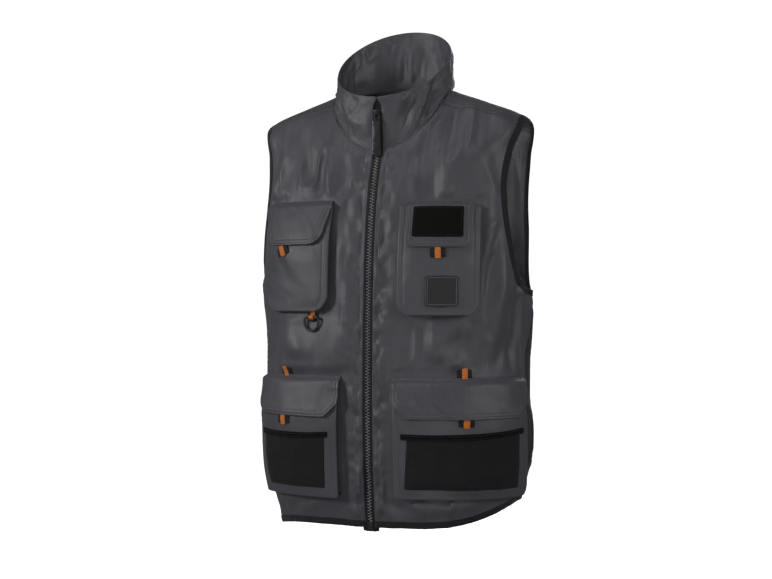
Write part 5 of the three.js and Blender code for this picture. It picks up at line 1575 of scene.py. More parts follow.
@dataclass(frozen=True)
class Collar:
    """The stand collar, from the neckline to a tilted ring, open at the zip.

    Directions are round its centre, in degrees from the zip.
    """

    half_width: float = 90.0
    half_depth: float = 85.0
    centre: float = -10.0
    front_top: float = -18.0
    back_top: float = 110.0
    cloth: float = 2.4
    gap: float = 1.9
    meet: float = 1.2
    narrows: float = 0.8
    tuck: float = 0.035
    folds: tuple[CollarFold, ...] = named_rows(
        CollarFold,
        (23, 15, 8, -0.8), (36, 18, 7, 0.5), (50, 19, 9, -0.9), (-40, -10, 12, 0.4),
        (150, 10, 16, 0.5), (-140, 0, 18, -0.4),
    )

    def __post_init__(self) -> None:
        """Tabulates the neckline's points by their direction from the centre."""
        angle = np.linspace(0.0, 180.0, 1441)
        base = FORM.torso(*FORM.neckline(angle, self.gap))
        turn = np.arctan2(base[:, 0], self.centre - base[:, 1]) / DEG
        turn[0], turn[-1] = 0.0, 180.0
        object.__setattr__(self, "base", (turn, base))
        object.__setattr__(self, "foot", float(base[0, 2]))

    def middle(self, turn: Array, up: Array) -> Array:
        """Points of the collar's middle layer.

        Args:
            turn: direction in degrees, 0 at the zip.
            up: share of the height.

        Returns:
            Points.
        """
        turn, up = floats(turn, up)
        turn = wrap_angle(turn)
        known, base = self.base
        low = between(np.abs(turn), known, base)
        low[..., 0] *= sign_of(turn)
        s, c = np.sin(turn * DEG), np.cos(turn * DEG)
        y = self.centre - self.half_depth * c
        slope = (self.back_top - self.front_top) / (2 * self.half_depth)
        level = (self.back_top + self.front_top) / 2
        high = pack(self.half_width * s, y, level + slope * (y - self.centre))
        swell = np.zeros_like(turn)
        for fold in self.folds:
            off = wrap_angle(turn - fold.angle - fold.lean * up)
            swell = swell + fold.high * bell(off, fold.wide)
        out = pack(s, -c, 0 * s)
        fine = self.crumple(turn, up)
        lift = FORM.fold_height * swell * np.sin(math.pi * (0.08 + 0.8 * up)) + fine
        return low + (high - low) * up[..., None] + out * lift[..., None]

    def crumple(self, turn: Array, up: Array) -> Array:
        """Light crumpling, none at the zip, the foot and the top edge."""
        calm = ease((np.abs(turn) - 4) / 8) * ease(up / 0.12) * ease((1 - up) / 0.12)
        wide = np.abs(turn) / 14.0 + 5.0
        return calm * (
            2.3 * NOISE.cloud(wide, up * 2.2 + np.sign(turn) * 3.0 + 7.0)
            + 2.2 * NOISE.creases(wide * 1.7, up * 2.6 + np.sign(turn) * 2.0)
        )

    def point(self, turn: Array, up: Array, offset: Array) -> Array:
        """Points raised above the collar's middle by an offset."""
        turn, up, offset = floats(turn, up, offset)
        return self.middle(turn, up) + self.normal(turn, up) * offset[..., None]

    def normal(self, turn: Array, up: Array) -> Array:
        """The collar's outward normal."""
        across = self.middle(turn + 1, up) - self.middle(turn - 1, up)
        upward = self.middle(turn, up + 0.02) - self.middle(turn, up - 0.02)
        return unit(np.cross(across, upward))

    def direction(self, x: Array, up: Array) -> Array:
        """The direction of the point at a distance across from the zip."""
        return np.arctan2(x, self.centre - self.middle(0.0 * up, up)[..., 1]) / DEG

    def share(self, z: Array) -> Array:
        """Share of the height at which the zip reaches a level."""
        return (z - self.foot) / (self.front_top - self.foot)

    def edge(self, up: Array) -> Array:
        """Direction of the front edge."""
        half = FRONT_EDGE + (self.meet - FRONT_EDGE) * ease((up - self.narrows) / (1 - self.narrows))
        return self.direction(half, up)

    def chain(self, x: Array, z: Array, offset: Array) -> Array:
        """Points along the zip: on the body below the collar's foot and on the collar above it."""
        x, z, offset = floats(x, z, offset)
        up = np.clip(self.share(z), 0.0, 1.0)
        above = self.point(self.direction(x, up), up, offset)
        below = FORM.on_cloth(x, np.minimum(z, self.foot + 4.0), offset)
        share = ease((z - self.foot + 4.0) / 8.0)[..., None]
        return below * (1 - share) + above * share

    def dress(self, finishes: Finishes) -> None:
        """Builds the collar and its topstitching."""
        near = np.array([0, 0.006, 0.014, 0.024])
        up = np.concatenate([near - self.tuck, np.linspace(0.0, 0.955, 26), 1 - near[:0:-1], [1.0]])
        share = np.concatenate([near, np.linspace(0.04, 0.96, 150), 1 - near[::-1]])
        edge = self.edge(np.clip(up, 0, 1))[:, None]
        turn = edge + share[None, :] * (360 - 2 * edge)
        rise = up[:, None] + 0 * turn
        from_edge = np.minimum(share, 1 - share)[None, :] * 560
        from_top = (1 - rise) * 105
        seam = 0.35 * np.maximum(bell(from_top - 7, 0.9), bell(from_edge - 2.5, 0.9) * (rise > 0))
        outer = self.point(turn, rise, self.cloth / 2 + 0.15 - seam)
        inner = self.point(turn, rise, -self.cloth / 2)
        flat = pack(share[None, :] * 560 - 280 + 0 * rise, rise * 100)
        piece = wall(outer, inner, flat, 3)
        made = Dress("collar_cloth", finishes.ripstop, ("collar",)).put(piece)
        declare(made, piece, 2)
        threads = Piece()
        for level in (0.935, 0.035, 0.1):
            start = float(self.edge(np.array(level))) + 1.5
            run = np.linspace(start, 360 - start, 700)
            self.sew(threads, run, np.full(700, level))
        for sign in (1, -1):
            rows = np.linspace(0.03, 0.93, 60)
            self.sew(threads, sign * (self.edge(rows) + 1.9), rows)
        Dress("collar_stitches", finishes.thread, ()).put(threads)

    def sew(self, threads: Piece, turn: Array, up: Array) -> None:
        """Adds stitches on the collar's outer face."""
        Thread().sew(threads, self.point(turn, up, self.cloth / 2 + 0.05), self.normal(turn, up))


@dataclass(frozen=True)
class Zip:
    """The front zip: tapes, interlocked teeth, end box, slider and pull."""

    collar: Collar
    top: float = -37.0
    foot: float = -681.0
    chain_top: float = -43.0
    box_top: float = -666.0
    pitch: float = 4.6
    tooth: tuple[Pair, ...] = (
        (3.4, -0.8), (1.7, -0.6), (1.0, -0.95), (0.2, -0.85), (-0.35, -0.4),
        (-0.35, 0.4), (0.2, 0.85), (1.0, 0.95), (1.7, 0.6), (3.4, 0.8),
    )
    tape: tuple[Pair, ...] = (
        (0.3, -1.3), (1.2, -1.2), (2.2, -0.9), (3.1, -0.3), (4.5, 0), (6.0, 0), (7.3, -0.15), (8.6, -1.2),
        (10.4, -2.1), (12.5, -2.3),
    )
    wire: float = 1.8
    link: float = 9.0
    pull_width: float = 15.0
    pull_length: float = 56.0
    pull_thickness: float = 2.6
    plate_gap: float = 1.9
    plate: float = 1.2
    bridge_rise: float = 4.2
    bridge_length: float = 8.0

    def dress(self, finishes: Finishes) -> None:
        """Builds every piece of the zip."""
        below = np.linspace(self.foot, self.collar.foot - 6, 190)
        z = np.concatenate([below, np.linspace(self.collar.foot - 4, self.top, 26)])
        for side in Side:
            x, under = np.array(self.tape).T
            x = side.value * x
            flat = pack(x[None, :], z[:, None])
            outer = self.collar.chain(x[None, :], z[:, None], 0.5 + under[None, :])
            inner = self.collar.chain(x[None, :], z[:, None], -0.5 + under[None, :])
            if side is Side.RIGHT:
                outer, inner, flat = outer[:, ::-1], inner[:, ::-1], flat[:, ::-1]
            tape = wall(outer, inner, flat, 1)
            Dress(f"zip_strip_{side.word}", finishes.tape, (f"zip_tape_{side.word}",)).put(tape)
            name, nodes = f"zip_chain_{side.word}", (f"zip_teeth_{side.word}",)
            # The chain's pale grey colour from finishes.teeth is painted highlight on black teeth.
            Dress(name, finishes.teeth, nodes, sharp=35.0).put(self.teeth(side))
        self.dress_box(finishes)
        self.dress_slider(finishes)
        self.dress_pull(finishes)

    def teeth(self, side: Side) -> Piece:
        """The teeth of one side: bevelled solids that reach between those of the other side."""
        outline = np.array(self.tooth)
        count = int((self.chain_top - self.box_top) / self.pitch)
        shift = 0.0 if side is Side.LEFT else self.pitch / 2
        z = self.box_top + 1.0 + shift + np.arange(count) * self.pitch
        z = z[z < self.chain_top + 5.0]
        levels = ((0.55, -1.4), (1.0, -1.0), (1.0, 0.5), (0.82, 1.1), (0.4, 1.5))
        middle = np.array([1.2, 0.0])
        shape = np.stack([middle + (outline - middle) * s for s, _ in levels])
        high = np.array([h for _, h in levels])
        x = side.value * shape[None, :, :, 0]
        points = self.collar.chain(x, z[:, None, None] + shape[None, :, :, 1], high[None, :, None])
        return rods(Piece(), points)

    def dress_box(self, finishes: Finishes) -> None:
        """Builds the end box, grooved down its middle."""
        centre = FORM.on_cloth(np.array(0.0), np.array(self.box_top - 7.5), np.array(0.0))
        piece = Piece()
        place = facing(centre)
        slab(piece, rounded_box(5.4, 15.0, 1.0), -2.25, 2.1, 0.5, place)
        for side in (-1, 1):
            rail = rounded_box(1.5, 13.0, 0.5) + np.array([side * 1.5, 0.0])
            slab(piece, rail, 1.6, 2.5, 0.25, place)
        Dress("zip_box", finishes.moulding, ("zip_end_box",), sharp=40.0).put(piece)

    def slider_frame(self) -> tuple[Array, Array, Array]:
        """The slider's middle, and the directions up the chain and out of the front."""
        share = self.collar.share(np.array([self.chain_top, self.top]))
        low, high = self.collar.middle(np.zeros(2), share)
        up = unit(high - low)
        return low, up, np.array([0.0, -up[2], up[1]])

    def dress_slider(self, finishes: Finishes) -> None:
        """Builds the slider: two plates, a post, and a bent bridge for the pull."""
        centre, up, out = self.slider_frame()
        across = np.array([1.0, 0.0, 0.0])
        piece = Piece()

        def place(p: Array) -> Array:
            """Outline across and up the chain, height out of the front."""
            return centre + p[..., :1] * across + p[..., 1:2] * up + p[..., 2:] * out

        outline = rounded_box(9.4, 12.0, 2.2)
        outline[:, 0] *= 1 - 0.12 * np.clip(-outline[:, 1] / 6, 0, 1)
        face = self.plate_gap + self.plate
        slab(piece, outline, self.plate_gap, face, 0.35, place)
        slab(piece, outline, -face, -self.plate_gap, 0.35, place)
        post, end = rounded_box(4, 4, 0.8) + np.array([0, 2.3]), self.plate_gap + 0.3
        slab(piece, post, -end, end, 0.1, place)
        for sign in (-1, 1):
            rim = rounded_box(0.9, 8.5, 0.4) + np.array([sign * 3.7, 0])
            slab(piece, rim, face - 0.2, face + 0.45, 0.2, place)
        reach = self.bridge_length / 2 - 0.6
        turn = np.linspace(0, math.pi, 15)
        arch = pack(np.cos(turn), np.sin(turn) ** 0.55)
        rise = face - 0.5 + (self.bridge_rise - 0.1) * arch[:, 1:]
        path = centre + up * (-reach * arch[:, :1]) + out * rise
        sweep(piece, path, across, rounded_box(2.6, 1.2, 0.4, 3), False)
        Dress("slider", finishes.moulding, ("zip_slider",), sharp=40.0).put(piece)

    def dress_pull(self, finishes: Finishes) -> None:
        """Builds the wire link and the ribbed pull, hanging plumb from the bridge."""
        low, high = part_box("zip_pull_link")
        hinge = np.array([(low[0] + high[0]) / 2, (low[1] + high[1]) / 2, high[2]]) / MM
        hinge[2] -= self.wire / 2
        across = np.array([0.0, 1.0, 0.0])
        drop = self.link - self.wire
        outline = rounded_box(self.link - self.wire, drop, 1.6, 7) - np.array([0, drop / 2])
        path = hinge + pack(outline[:, 0], 0 * outline[:, 0], outline[:, 1])
        link = Piece()
        sweep(link, path, across, disc(self.wire / 2, 10), True)
        Dress("pull_link", finishes.moulding, ("zip_pull_link",), "zip_pull").put(link)
        pull = Piece()
        hole = self.wire / 2 + 0.3
        turn = np.arange(28) * 2 * math.pi / 28
        ring = hinge - np.array([0, 0, drop]) + (hole + 0.6) * pack(0 * turn, np.sin(turn), np.cos(turn))
        sweep(pull, ring, np.array([1.0, 0.0, 0.0]), rounded_box(4.8, 1.2, 0.35, 3), True)
        middle = hinge - np.array([0, 0, drop + hole + self.pull_length / 2])
        place = facing(middle)
        half = self.pull_thickness / 2
        outline = rounded_box(self.pull_width, self.pull_length, 2.2, 7)
        slim = 1 - 0.14 * ease((outline[:, 1] + 4) / 30)
        outline = outline * pack(slim, np.ones_like(slim))
        slab(pull, outline, -half, half, 0.7, place)
        rim = rounded_box(self.pull_width - 3.4, 26.0, 1.4, 5) + np.array([0, 8.0])
        for face in (-1, 1):
            slab(pull, rim, *sorted((face * (half - 0.3), face * (half + 0.35))), 0.25, place)
            for k in range(6):
                bar = rounded_box(self.pull_width - 3.6, 1.5, 0.7, 4) + np.array([0, -24.0 + 2.9 * k])
                slab(pull, bar, *sorted((face * (half - 0.3), face * (half + 0.45))), 0.3, place)
        Dress("pull_grip", finishes.moulding, ("zip_pull_tab",), "zip_pull", sharp=40.0).put(pull)


def sew_on(threads: Piece, top: Surface, across: Array, z: Array) -> None:
    """Adds stitches along places on a surface.

    Args:
        threads: takes the stitches.
        top: the surface's height over the middle of the body cloth.
        across: distances over the cloth from the zip.
        z: heights.
    """
    angle = FORM.angle_at(across, z)
    Thread().sew(threads, FORM.skin(angle, z, top(across, z) + 0.05), FORM.frame_at(angle, z)[2])


def body_face(across: Array, z: Array) -> Array:
    """Height of the body cloth's outer face over its middle."""
    return ON_CLOTH - REST_GAP + 0 * (across + z)


def corner_loss(radius: float, cut: bool, up: Array) -> Array:
    """How much a corner narrows a shape at a distance up from its foot."""
    if cut:
        return np.maximum(radius - up, 0.0)
    left = np.clip(radius - up, 0.0, radius)
    return radius - np.sqrt(radius**2 - left**2)


def spaced(reach: float, near: Sequence[float], pitch: float) -> Array:
    """Distances from -reach to reach: fine steps at both ends and even ones between."""
    near = np.array(near)
    inner = np.linspace(-1, 1, max(3, int(2 * (reach - near[-1]) / pitch)) + 1) * (reach - near[-1])
    return np.concatenate([-reach + near[:-1], inner, (reach - near[:-1])[::-1]])


@dataclass(frozen=True)
class Pocket:
    """A patch pocket: a bag with round gussets and a flap sewn down above its mouth."""

    sizes: PocketSizes
    bag_wrinkle: float = 1.3
    flap_wrinkle: float = 0.9
    lean: float = 0.5
    gusset: tuple[Pair, ...] = (
        (8.4, 0.0), (8.2, 0.12), (7.4, 0.28), (5.4, 0.44), (3.0, 0.58), (1.0, 0.7), (0.1, 0.8), (0.0, 0.88),
        (0.35, 0.955), (1.1, 0.995), (2.0, 1.0), (3.2, 1.0), (4.6, 1.0), (6.2, 1.0), (7.6, 1.0), (8.6, 1.0),
        (9.4, 1.0), (10.2, 1.0), (11.4, 1.0), (13.0, 1.0),
    )
    foot_tuck: float = 0.6
    hem: tuple[float, ...] = (0, 0.7, 1.6, 2.4, 3.2, 5.0, 7.0, 7.9, 8.8, 11.0)
    bag_stitch: float = 9.4
    flap_stitches: Pair = (2.4, 7.9)
    mouth_hem: float = 13.0

    def crumple(self, across: Array, z: Array, cell: float) -> Array:
        """Leaning creases and soft swells, none of them much below the cloth."""
        x = (across + self.lean * z) / cell + self.sizes.top
        y = (z - self.lean * 0.3 * across) / (1.7 * cell) + self.sizes.width
        mask = ease((NOISE.at(x * 0.3, y * 0.3 + 4.0) + 0.35) / 0.7)
        return 0.9 * NOISE.cloud(x * 0.6, y * 0.8) + 1.3 * NOISE.creases(x, y) * mask - 0.2

    def bag_edge(self, across: Array, z: Array) -> Array:
        """Distance from the bag's side and bottom edges."""
        p = self.sizes
        up = z + p.bottom
        side = p.width / 2 - corner_loss(p.corner, False, up) - np.abs(across - p.middle)
        return np.minimum(side, up)

    def bag_detail(self, across: Array, z: Array) -> Array:
        """Crumpling, stitch grooves and hem of the bag's front."""
        p = self.sizes
        edge = self.bag_edge(across, z)
        below = p.mouth - z
        free = ease((edge - 5) / 12) * (0.25 + 0.75 * ease((below - p.flap_length + 6) / 14))
        grooves = 0.4 * bell(edge - self.bag_stitch, 0.9) + 0.35 * bell(below - self.mouth_hem, 0.9)
        hem = 0.35 * ease((self.mouth_hem - below) / 1.2)
        return self.bag_wrinkle * self.crumple(across, z, 34.0) * free - grooves + hem

    def bag_top(self, across: Array, z: Array) -> Array:
        """Height of the bag's front over the middle of the cloth, with its detail."""
        return self.sizes.bag_height(across, z) + self.bag_detail(across, z)

    def bag_grid(self, inset: float) -> Array:
        """Points of the bag's outer face, moved in by an inset: its gussets tuck in under the front."""
        p = self.sizes
        inside, high = np.array(self.gusset).T
        tallest = p.mouth + p.bottom
        even = np.linspace(inside[-1], tallest, int(tallest / 3.2))[1:]
        rise = np.concatenate([inside * self.foot_tuck, even])
        tall = np.concatenate([high, np.ones(len(even))])
        half = p.width / 2
        inner = spaced(half - inside[-1], (0.0,), 3.2)
        side = np.concatenate([inside[:-1], half - np.abs(inner), inside[-2::-1]])
        sign = np.concatenate([-np.ones(len(inside) - 1), np.sign(inner), np.ones(len(inside) - 1)])
        steep = np.concatenate([high[:-1], np.ones(len(inner)), high[-2::-1]])
        loss = corner_loss(p.corner, False, rise)[:, None]
        edge = half - loss - side
        share = np.abs(half - side) * (half - loss - inside[-1]) / (half - inside[-1])
        x = sign * np.where(steep < 1, edge, np.where(side < inside[-1], edge, share))
        low = ease((0.95 - steep[None, :]) / 0.6)
        x = x - np.sign(x) * inset * low
        up = rise[:, None] + inset * ease((0.95 - tall[:, None]) / 0.6) + 0 * x
        across, z = p.middle + x, up - p.bottom
        full = self.bag_top(across, z) - inset
        rises = np.minimum(steep[None, :], tall[:, None])
        return FORM.on_cloth(across, z, ON_CLOTH - 0.6 + rises * (full - ON_CLOTH + 0.6))

    def flap_edge(self, across: Array, z: Array) -> Array:
        """Distance from the flap's free edges."""
        p = self.sizes
        up = z + p.top + p.flap_length
        side = self.flap_half(up) - np.abs(across - p.middle)
        square = np.minimum(side, up)
        c = p.flap_corner
        if p.chamfer:
            return np.minimum(square, (side + up - c) / math.sqrt(2))
        round_it = c - np.hypot(c - np.minimum(side, c), c - np.minimum(up, c))
        return np.where((side < c) & (up < c), round_it, square)

    def flap_half(self, up: Array) -> Array:
        """Half the flap's width at a distance up from its foot, corners left out."""
        p = self.sizes
        crown = 4.0 * ease((up - p.flap_length + 10) / 10) * (not p.chamfer)
        return p.flap_width / 2 - p.flap_taper * (1 - up / p.flap_length) - crown

    def flap_detail(self, across: Array, z: Array) -> Array:
        """Crumpling, stitch grooves and the puff between them."""
        edge = self.flap_edge(across, z)
        below = -self.sizes.top - z
        grooves = sum(0.4 * bell(edge - d, 0.8) for d in self.flap_stitches)
        sewn = 0.5 * bell(below - 3.0, 0.9)
        free = ease(below / 16)
        puff = 0.35 * bell(edge - sum(self.flap_stitches) / 2, 2.0)
        flare = 0.9 * free * ease((14 - edge) / 14)
        return self.flap_wrinkle * self.crumple(across + 50, z, 26.0) * free + puff + flare - grooves - sewn

    def flap_top(self, across: Array, z: Array) -> Array:
        """Height of the flap's outer face over the middle of the cloth."""
        p = self.sizes
        return p.flap_height(across, z) + p.flap_cloth + self.flap_detail(across, z)

    def flap_grid(self, offset: float) -> Array:
        """Points of a layer of the flap, below its outer face by an offset."""
        p = self.sizes
        near = np.array(self.hem)
        rise = np.concatenate([near, np.linspace(near[-1], p.flap_length, int(p.flap_length / 2.2))[1:]])
        inset = corner_loss(p.flap_corner, p.chamfer, rise)
        half = p.flap_width / 2
        column = spaced(half, self.hem, 2.6)
        reach = (self.flap_half(rise) - inset)[:, None]
        side = half - np.abs(column)
        inner = (reach - near[-1]) / (half - near[-1])
        x = np.sign(column) * np.where(side < near[-1], reach - side, np.abs(column) * inner)
        across, z = p.middle + x, rise[:, None] - p.top - p.flap_length + 0 * x
        return FORM.on_cloth(across, z, self.flap_top(across, z) - offset)

    def flap_outline(self, inset: float) -> Places:
        """Places along the flap's free edges, moved in: down one side, round the foot, up the other."""
        p = self.sizes
        corner = max(p.flap_corner - inset * (0.586 if p.chamfer else 1.0), 1.0)
        turn = np.linspace(0, math.pi / 2, 2 if p.chamfer else 9)
        half = self.flap_half(0.0) - inset
        top = self.flap_half(p.flap_length - 4) - inset
        x = np.concatenate([[top], half - corner + corner * np.cos(turn)])
        up = np.concatenate([[p.flap_length - 4], inset + corner - corner * np.sin(turn)])
        path = pack(np.concatenate([-x, x[::-1]]), np.concatenate([up, up[::-1]]))
        x, up = evenly(path, 260).T
        return p.middle + x, up - p.top - p.flap_length

    def dress(self, finishes: Finishes) -> None:
        """Builds the bag, the flap and their stitches."""
        p = self.sizes
        bag = wall(self.bag_grid(0.0), self.bag_grid(p.bag_cloth), None, 2)
        made = Dress(f"{p.name}_pouch", finishes.ripstop, (f"{p.name}_bag",)).put(bag)
        declare(made, bag, 2)
        flap = wall(self.flap_grid(0.0), self.flap_grid(p.flap_cloth), None, 3)
        made = Dress(f"{p.name}_cover", finishes.ripstop, (f"{p.name}_flap",)).put(flap)
        declare(made, flap, 2)
        threads = Piece()
        for inset in self.flap_stitches:
            sew_on(threads, self.flap_top, *self.flap_outline(inset))
        run = np.linspace(-1, 1, 160)
        level = np.full(160, -p.top - 3.0)
        sew_on(threads, self.flap_top, p.middle + run * (p.flap_width / 2 - 2.5), level)
        inside = p.width / 2 - self.bag_stitch
        for sign in (-1, 1):
            z = np.linspace(-p.bottom + max(p.corner, 10) + 1, p.mouth - 2, 160)
            sew_on(threads, self.bag_top, p.middle + sign * inside + 0 * z, z)
        low = np.full(160, -p.bottom + self.bag_stitch)
        sew_on(threads, self.bag_top, p.middle + run * (inside - max(p.corner - 9, 0)), low)
        hem = np.full(160, p.mouth - self.mouth_hem)
        sew_on(threads, self.bag_top, p.middle + run * (p.width / 2 - 8), hem)
        Dress(f"{p.name}_stitches", finishes.thread, ()).put(threads)


@dataclass(frozen=True)
class Patch:
    """A thin piece sewn on a surface, placed by its middle; its corners may be round."""

    across: float
    z: float
    wide: float
    tall: float
    thick: float
    top: Surface
    lift: float = 0.0
    radius: float = 1.2
    tilt: float = 0.0
    arch: float = 0.0
    sag: float = 0.0
    tuck: float = 0.0
    cell: float = 2.0
    foot: Pair = (0.0, 0.0)

    def place(self, a: Array, b: Array) -> Places:
        """Places of offsets from the middle, turned by the tilt and moved down by the sag."""
        down = 0.5 - b / self.tall
        a = a * (1 + self.foot[0] * down) + self.foot[1] * down
        s, c = math.sin(self.tilt * DEG), math.cos(self.tilt * DEG)
        low = b - self.sag * (1 - np.clip(2 * a / self.wide, -1, 1) ** 2)
        return self.across + a * c - low * s, self.z + a * s + low * c

    def grid(self, high: float) -> Array:
        """Points of a layer at a height over the surface."""
        near = (0.0, 0.35, 0.9, 1.6)
        b = spaced(self.tall / 2, near, self.cell)[:, None]
        a = spaced(self.wide / 2, near, self.cell)[None, :]
        loss = corner_loss(self.radius, False, self.tall / 2 - np.abs(b))
        a = a * (1 - loss / (self.wide / 2)) + 0 * b
        b = b + 0 * a
        across, z = self.place(a, b)
        edge = np.minimum(self.wide / 2 - np.abs(a), self.tall / 2 - np.abs(b))
        bow = self.arch * (1 - (2 * b / self.tall) ** 2)
        press = self.tuck * (1 - ease(edge / 2.2))
        return FORM.on_cloth(across, z, self.top(across, z) + self.lift + high + bow - press)

    def outer(self, across: Array, z: Array) -> Array:
        """Height of the outer face over the middle of the body cloth."""
        return self.top(across, z) + self.lift + self.thick

    def mesh(self) -> Piece:
        """The closed solid."""
        return wall(self.grid(self.thick), self.grid(0.0))

    def outline(self, inset: float, radius: float, cuts: int) -> Array:
        """Round-cornered outline inside the edge, its first point again at its end."""
        found = rounded_box(self.wide - 2 * inset, self.tall - 2 * inset, radius, cuts)
        return np.concatenate([found, found[:1]])

    def stitches(self, threads: Piece, inset: float) -> None:
        """Adds a frame of stitches inside its edge."""
        path = evenly(self.outline(inset, max(self.radius, 0.8), 3), 200)
        sew_on(threads, self.outer, *self.place(*path.T))


class Tab(NamedTuple):
    """A webbing tab with an orange strip, a distance away from the flap's seam above or its foot below.

    It is shifted across from the pocket's middle and turned by a tilt in degrees.
    """

    name: str
    pocket: PocketSizes
    shift: float
    above: bool
    away: float
    tilt: float


TABS: tuple[Tab, ...] = (
    Tab("chest_left_tab", CHEST_LEFT, 0, False, 8.5, 2),
    Tab("chest_right_tab", CHEST_RIGHT, -16, False, 8.5, 18),
    Tab("lower_left_top_tab", LOWER_LEFT, 1, True, 7.0, 0),
    Tab("lower_left_tab", LOWER_LEFT, 1, False, 5.0, -2),
    Tab("lower_right_top_tab", LOWER_RIGHT, -20, True, 4.5, 3),
    Tab("lower_right_tab", LOWER_RIGHT, -12, False, 7.0, 2),
)


@dataclass(frozen=True)
class Fittings:
    """What is sewn on the pockets and the body: mesh pockets, patches, tabs, and the ring."""

    pockets: dict[str, Pocket]
    mesh_border: float = 16.0
    mesh_foot: float = 15.0
    mesh_height: float = 78.0
    trim_height: float = 8.0
    tab_size: Pair = (21.0, 13.0)
    strip_size: Pair = (7.5, 16.0)
    hook_size: Pair = (71.0, 46.0)
    badge_size: Pair = (47.0, 46.0)
    ring_across: float = -92.0
    ring_z: float = -356.5
    ring_wire: float = 3.8
    ring_width: float = 29.5
    ring_drop: float = 24.0
    ring_turn: float = -0.21528
    ring_pivot: tuple[float, float, float] = (-92.787, -133.673, -356.5)

    def dress(self, finishes: Finishes) -> None:
        """Builds all of them."""
        threads = Piece()
        self.dress_mesh(finishes, threads, self.pockets["lower_left"], 1.9, 3.0, (0.03, -3.0), 14.0)
        self.dress_mesh(finishes, threads, self.pockets["lower_right"], 0.8, 2.5, (-0.07, 2.0), 6.0)
        self.dress_patches(finishes, threads)
        self.dress_tabs(finishes, threads)
        self.dress_ring(finishes, threads)
        Dress("fitting_stitches", finishes.dark_thread, ()).put(threads)

    def dress_mesh(
        self, finishes: Finishes, threads: Piece, pocket: Pocket,
        tilt: float, sag: float, foot: Pair, ears: float,
    ) -> None:
        """Builds a mesh pocket and its elastic trim.

        Args:
            finishes: the vest's finishes.
            threads: takes the stitches.
            pocket: the pocket under it.
            tilt: how far the trim leans, in degrees.
            sag: how far its middle hangs.
            foot: how much wider the mesh is at its foot, as a share, and how far it is moved there.
            ears: how much narrower than the trim the mesh is.
        """
        p = pocket.sizes
        wide = p.width - 2 * self.mesh_border
        middle = -p.bottom + self.mesh_foot + self.mesh_height / 2

        def loose(across: Array, z: Array) -> Array:
            """The bag's front, with the mesh's own slack on it."""
            side = ease((wide / 2 - np.abs(across - p.middle)) / 18)
            up = ease((z - middle + self.mesh_height / 2) / 14)
            slack = 1.0 + 0.9 * NOISE.cloud(across / 30 + 3, z / 24)
            slack = slack + 0.8 * NOISE.creases(across / 22, z / 34)
            return pocket.bag_top(across, z) + slack * side * up

        net = Patch(
            p.middle, middle, wide - ears, self.mesh_height, 1.2, loose, -0.1, 2.0,
            tuck=0.7, cell=2.6, foot=foot,
        )
        piece = net.mesh()
        made = Dress(f"{p.name}_net", finishes.mesh, (f"{p.name}_mesh",)).put(piece)
        declare(made, piece, 2)
        net.stitches(threads, 1.6)
        level = middle + (self.mesh_height + self.trim_height) / 2 - 0.8
        band = Patch(
            p.middle, level, wide + 4, self.trim_height, 2.2, loose, -0.2, 1.0,
            tilt=tilt, sag=sag, tuck=0.5, cell=2.0,
        )
        Dress(f"{p.name}_band", finishes.trim, (f"{p.name}_trim",)).put(band.mesh())
        run = np.linspace(-0.985, 0.985, 220) * band.wide / 2
        for level in (-2.4, 2.4):
            across, z = band.place(run, np.full(220, level))
            sew_on(threads, band.outer, across, z)

    def dress_patches(self, finishes: Finishes, threads: Piece) -> None:
        """Builds the hook panel on the left chest flap and the bare badge under it."""
        pocket = self.pockets["chest_left"]
        p = pocket.sizes

        def pile(across: Array, z: Array) -> Array:
            """The flap's face under the hook pile's own roughness."""
            return pocket.flap_top(across, z) + 0.22 * NOISE.at(across * 0.8, z * 0.8)

        hook = Patch(p.middle - 1.5, -214.5, *self.hook_size, 1.7, pile, -0.1, 2.5, tuck=0.5, cell=1.3)
        Dress("hook_panel", finishes.hook, ("hook_patch",)).put(hook.mesh())
        hook.stitches(threads, 2.2)

        def flat_face(across: Array, z: Array) -> Array:
            """The bag's front without its crumpling."""
            return p.bag_height(across, z) + 0.5

        badge = Patch(p.middle + 6, -317, *self.badge_size, 1.4, flat_face, 0.2, 4.0, tuck=0.3)
        Dress("badge_plate", finishes.badge, ("badge_patch",)).put(badge.mesh())
        rim = Piece()
        for inset, wide in ((0.7, 0.7), (3.2, 0.9)):
            self.frame(rim, badge, inset, wide)
        Dress("badge_frame", finishes.frame, ()).put(rim)

    def frame(self, piece: Piece, patch_: Patch, inset: float, wide: float) -> None:
        """Adds a raised rounded frame on a patch."""
        line = evenly(patch_.outline(inset, max(patch_.radius - inset, 1.0), 7), 241)[:-1]
        section = rounded_box(wide, 1.3, 0.4, 3)
        spots = line[:, None] + inward_of(line)[:, None] * section[None, :, :1]
        across, z = patch_.place(spots[..., 0], spots[..., 1])
        high = patch_.outer(across, z) + section[None, :, 1]
        tube(FORM.on_cloth(across, z, high), True, piece=piece)

    def dress_tabs(self, finishes: Finishes, threads: Piece) -> None:
        """Builds the webbing tabs and their orange strips."""
        for tab in TABS:
            pocket = self.pockets[tab.pocket.name]
            p = tab.pocket
            across = p.middle + tab.shift
            z = -p.top + tab.away if tab.above else -p.top - p.flap_length - tab.away

            def bag(a: Array, b: Array, under: Pocket = pocket) -> Array:
                """The bag's face without its crumpling."""
                return under.sizes.bag_height(a, b) + 0.3

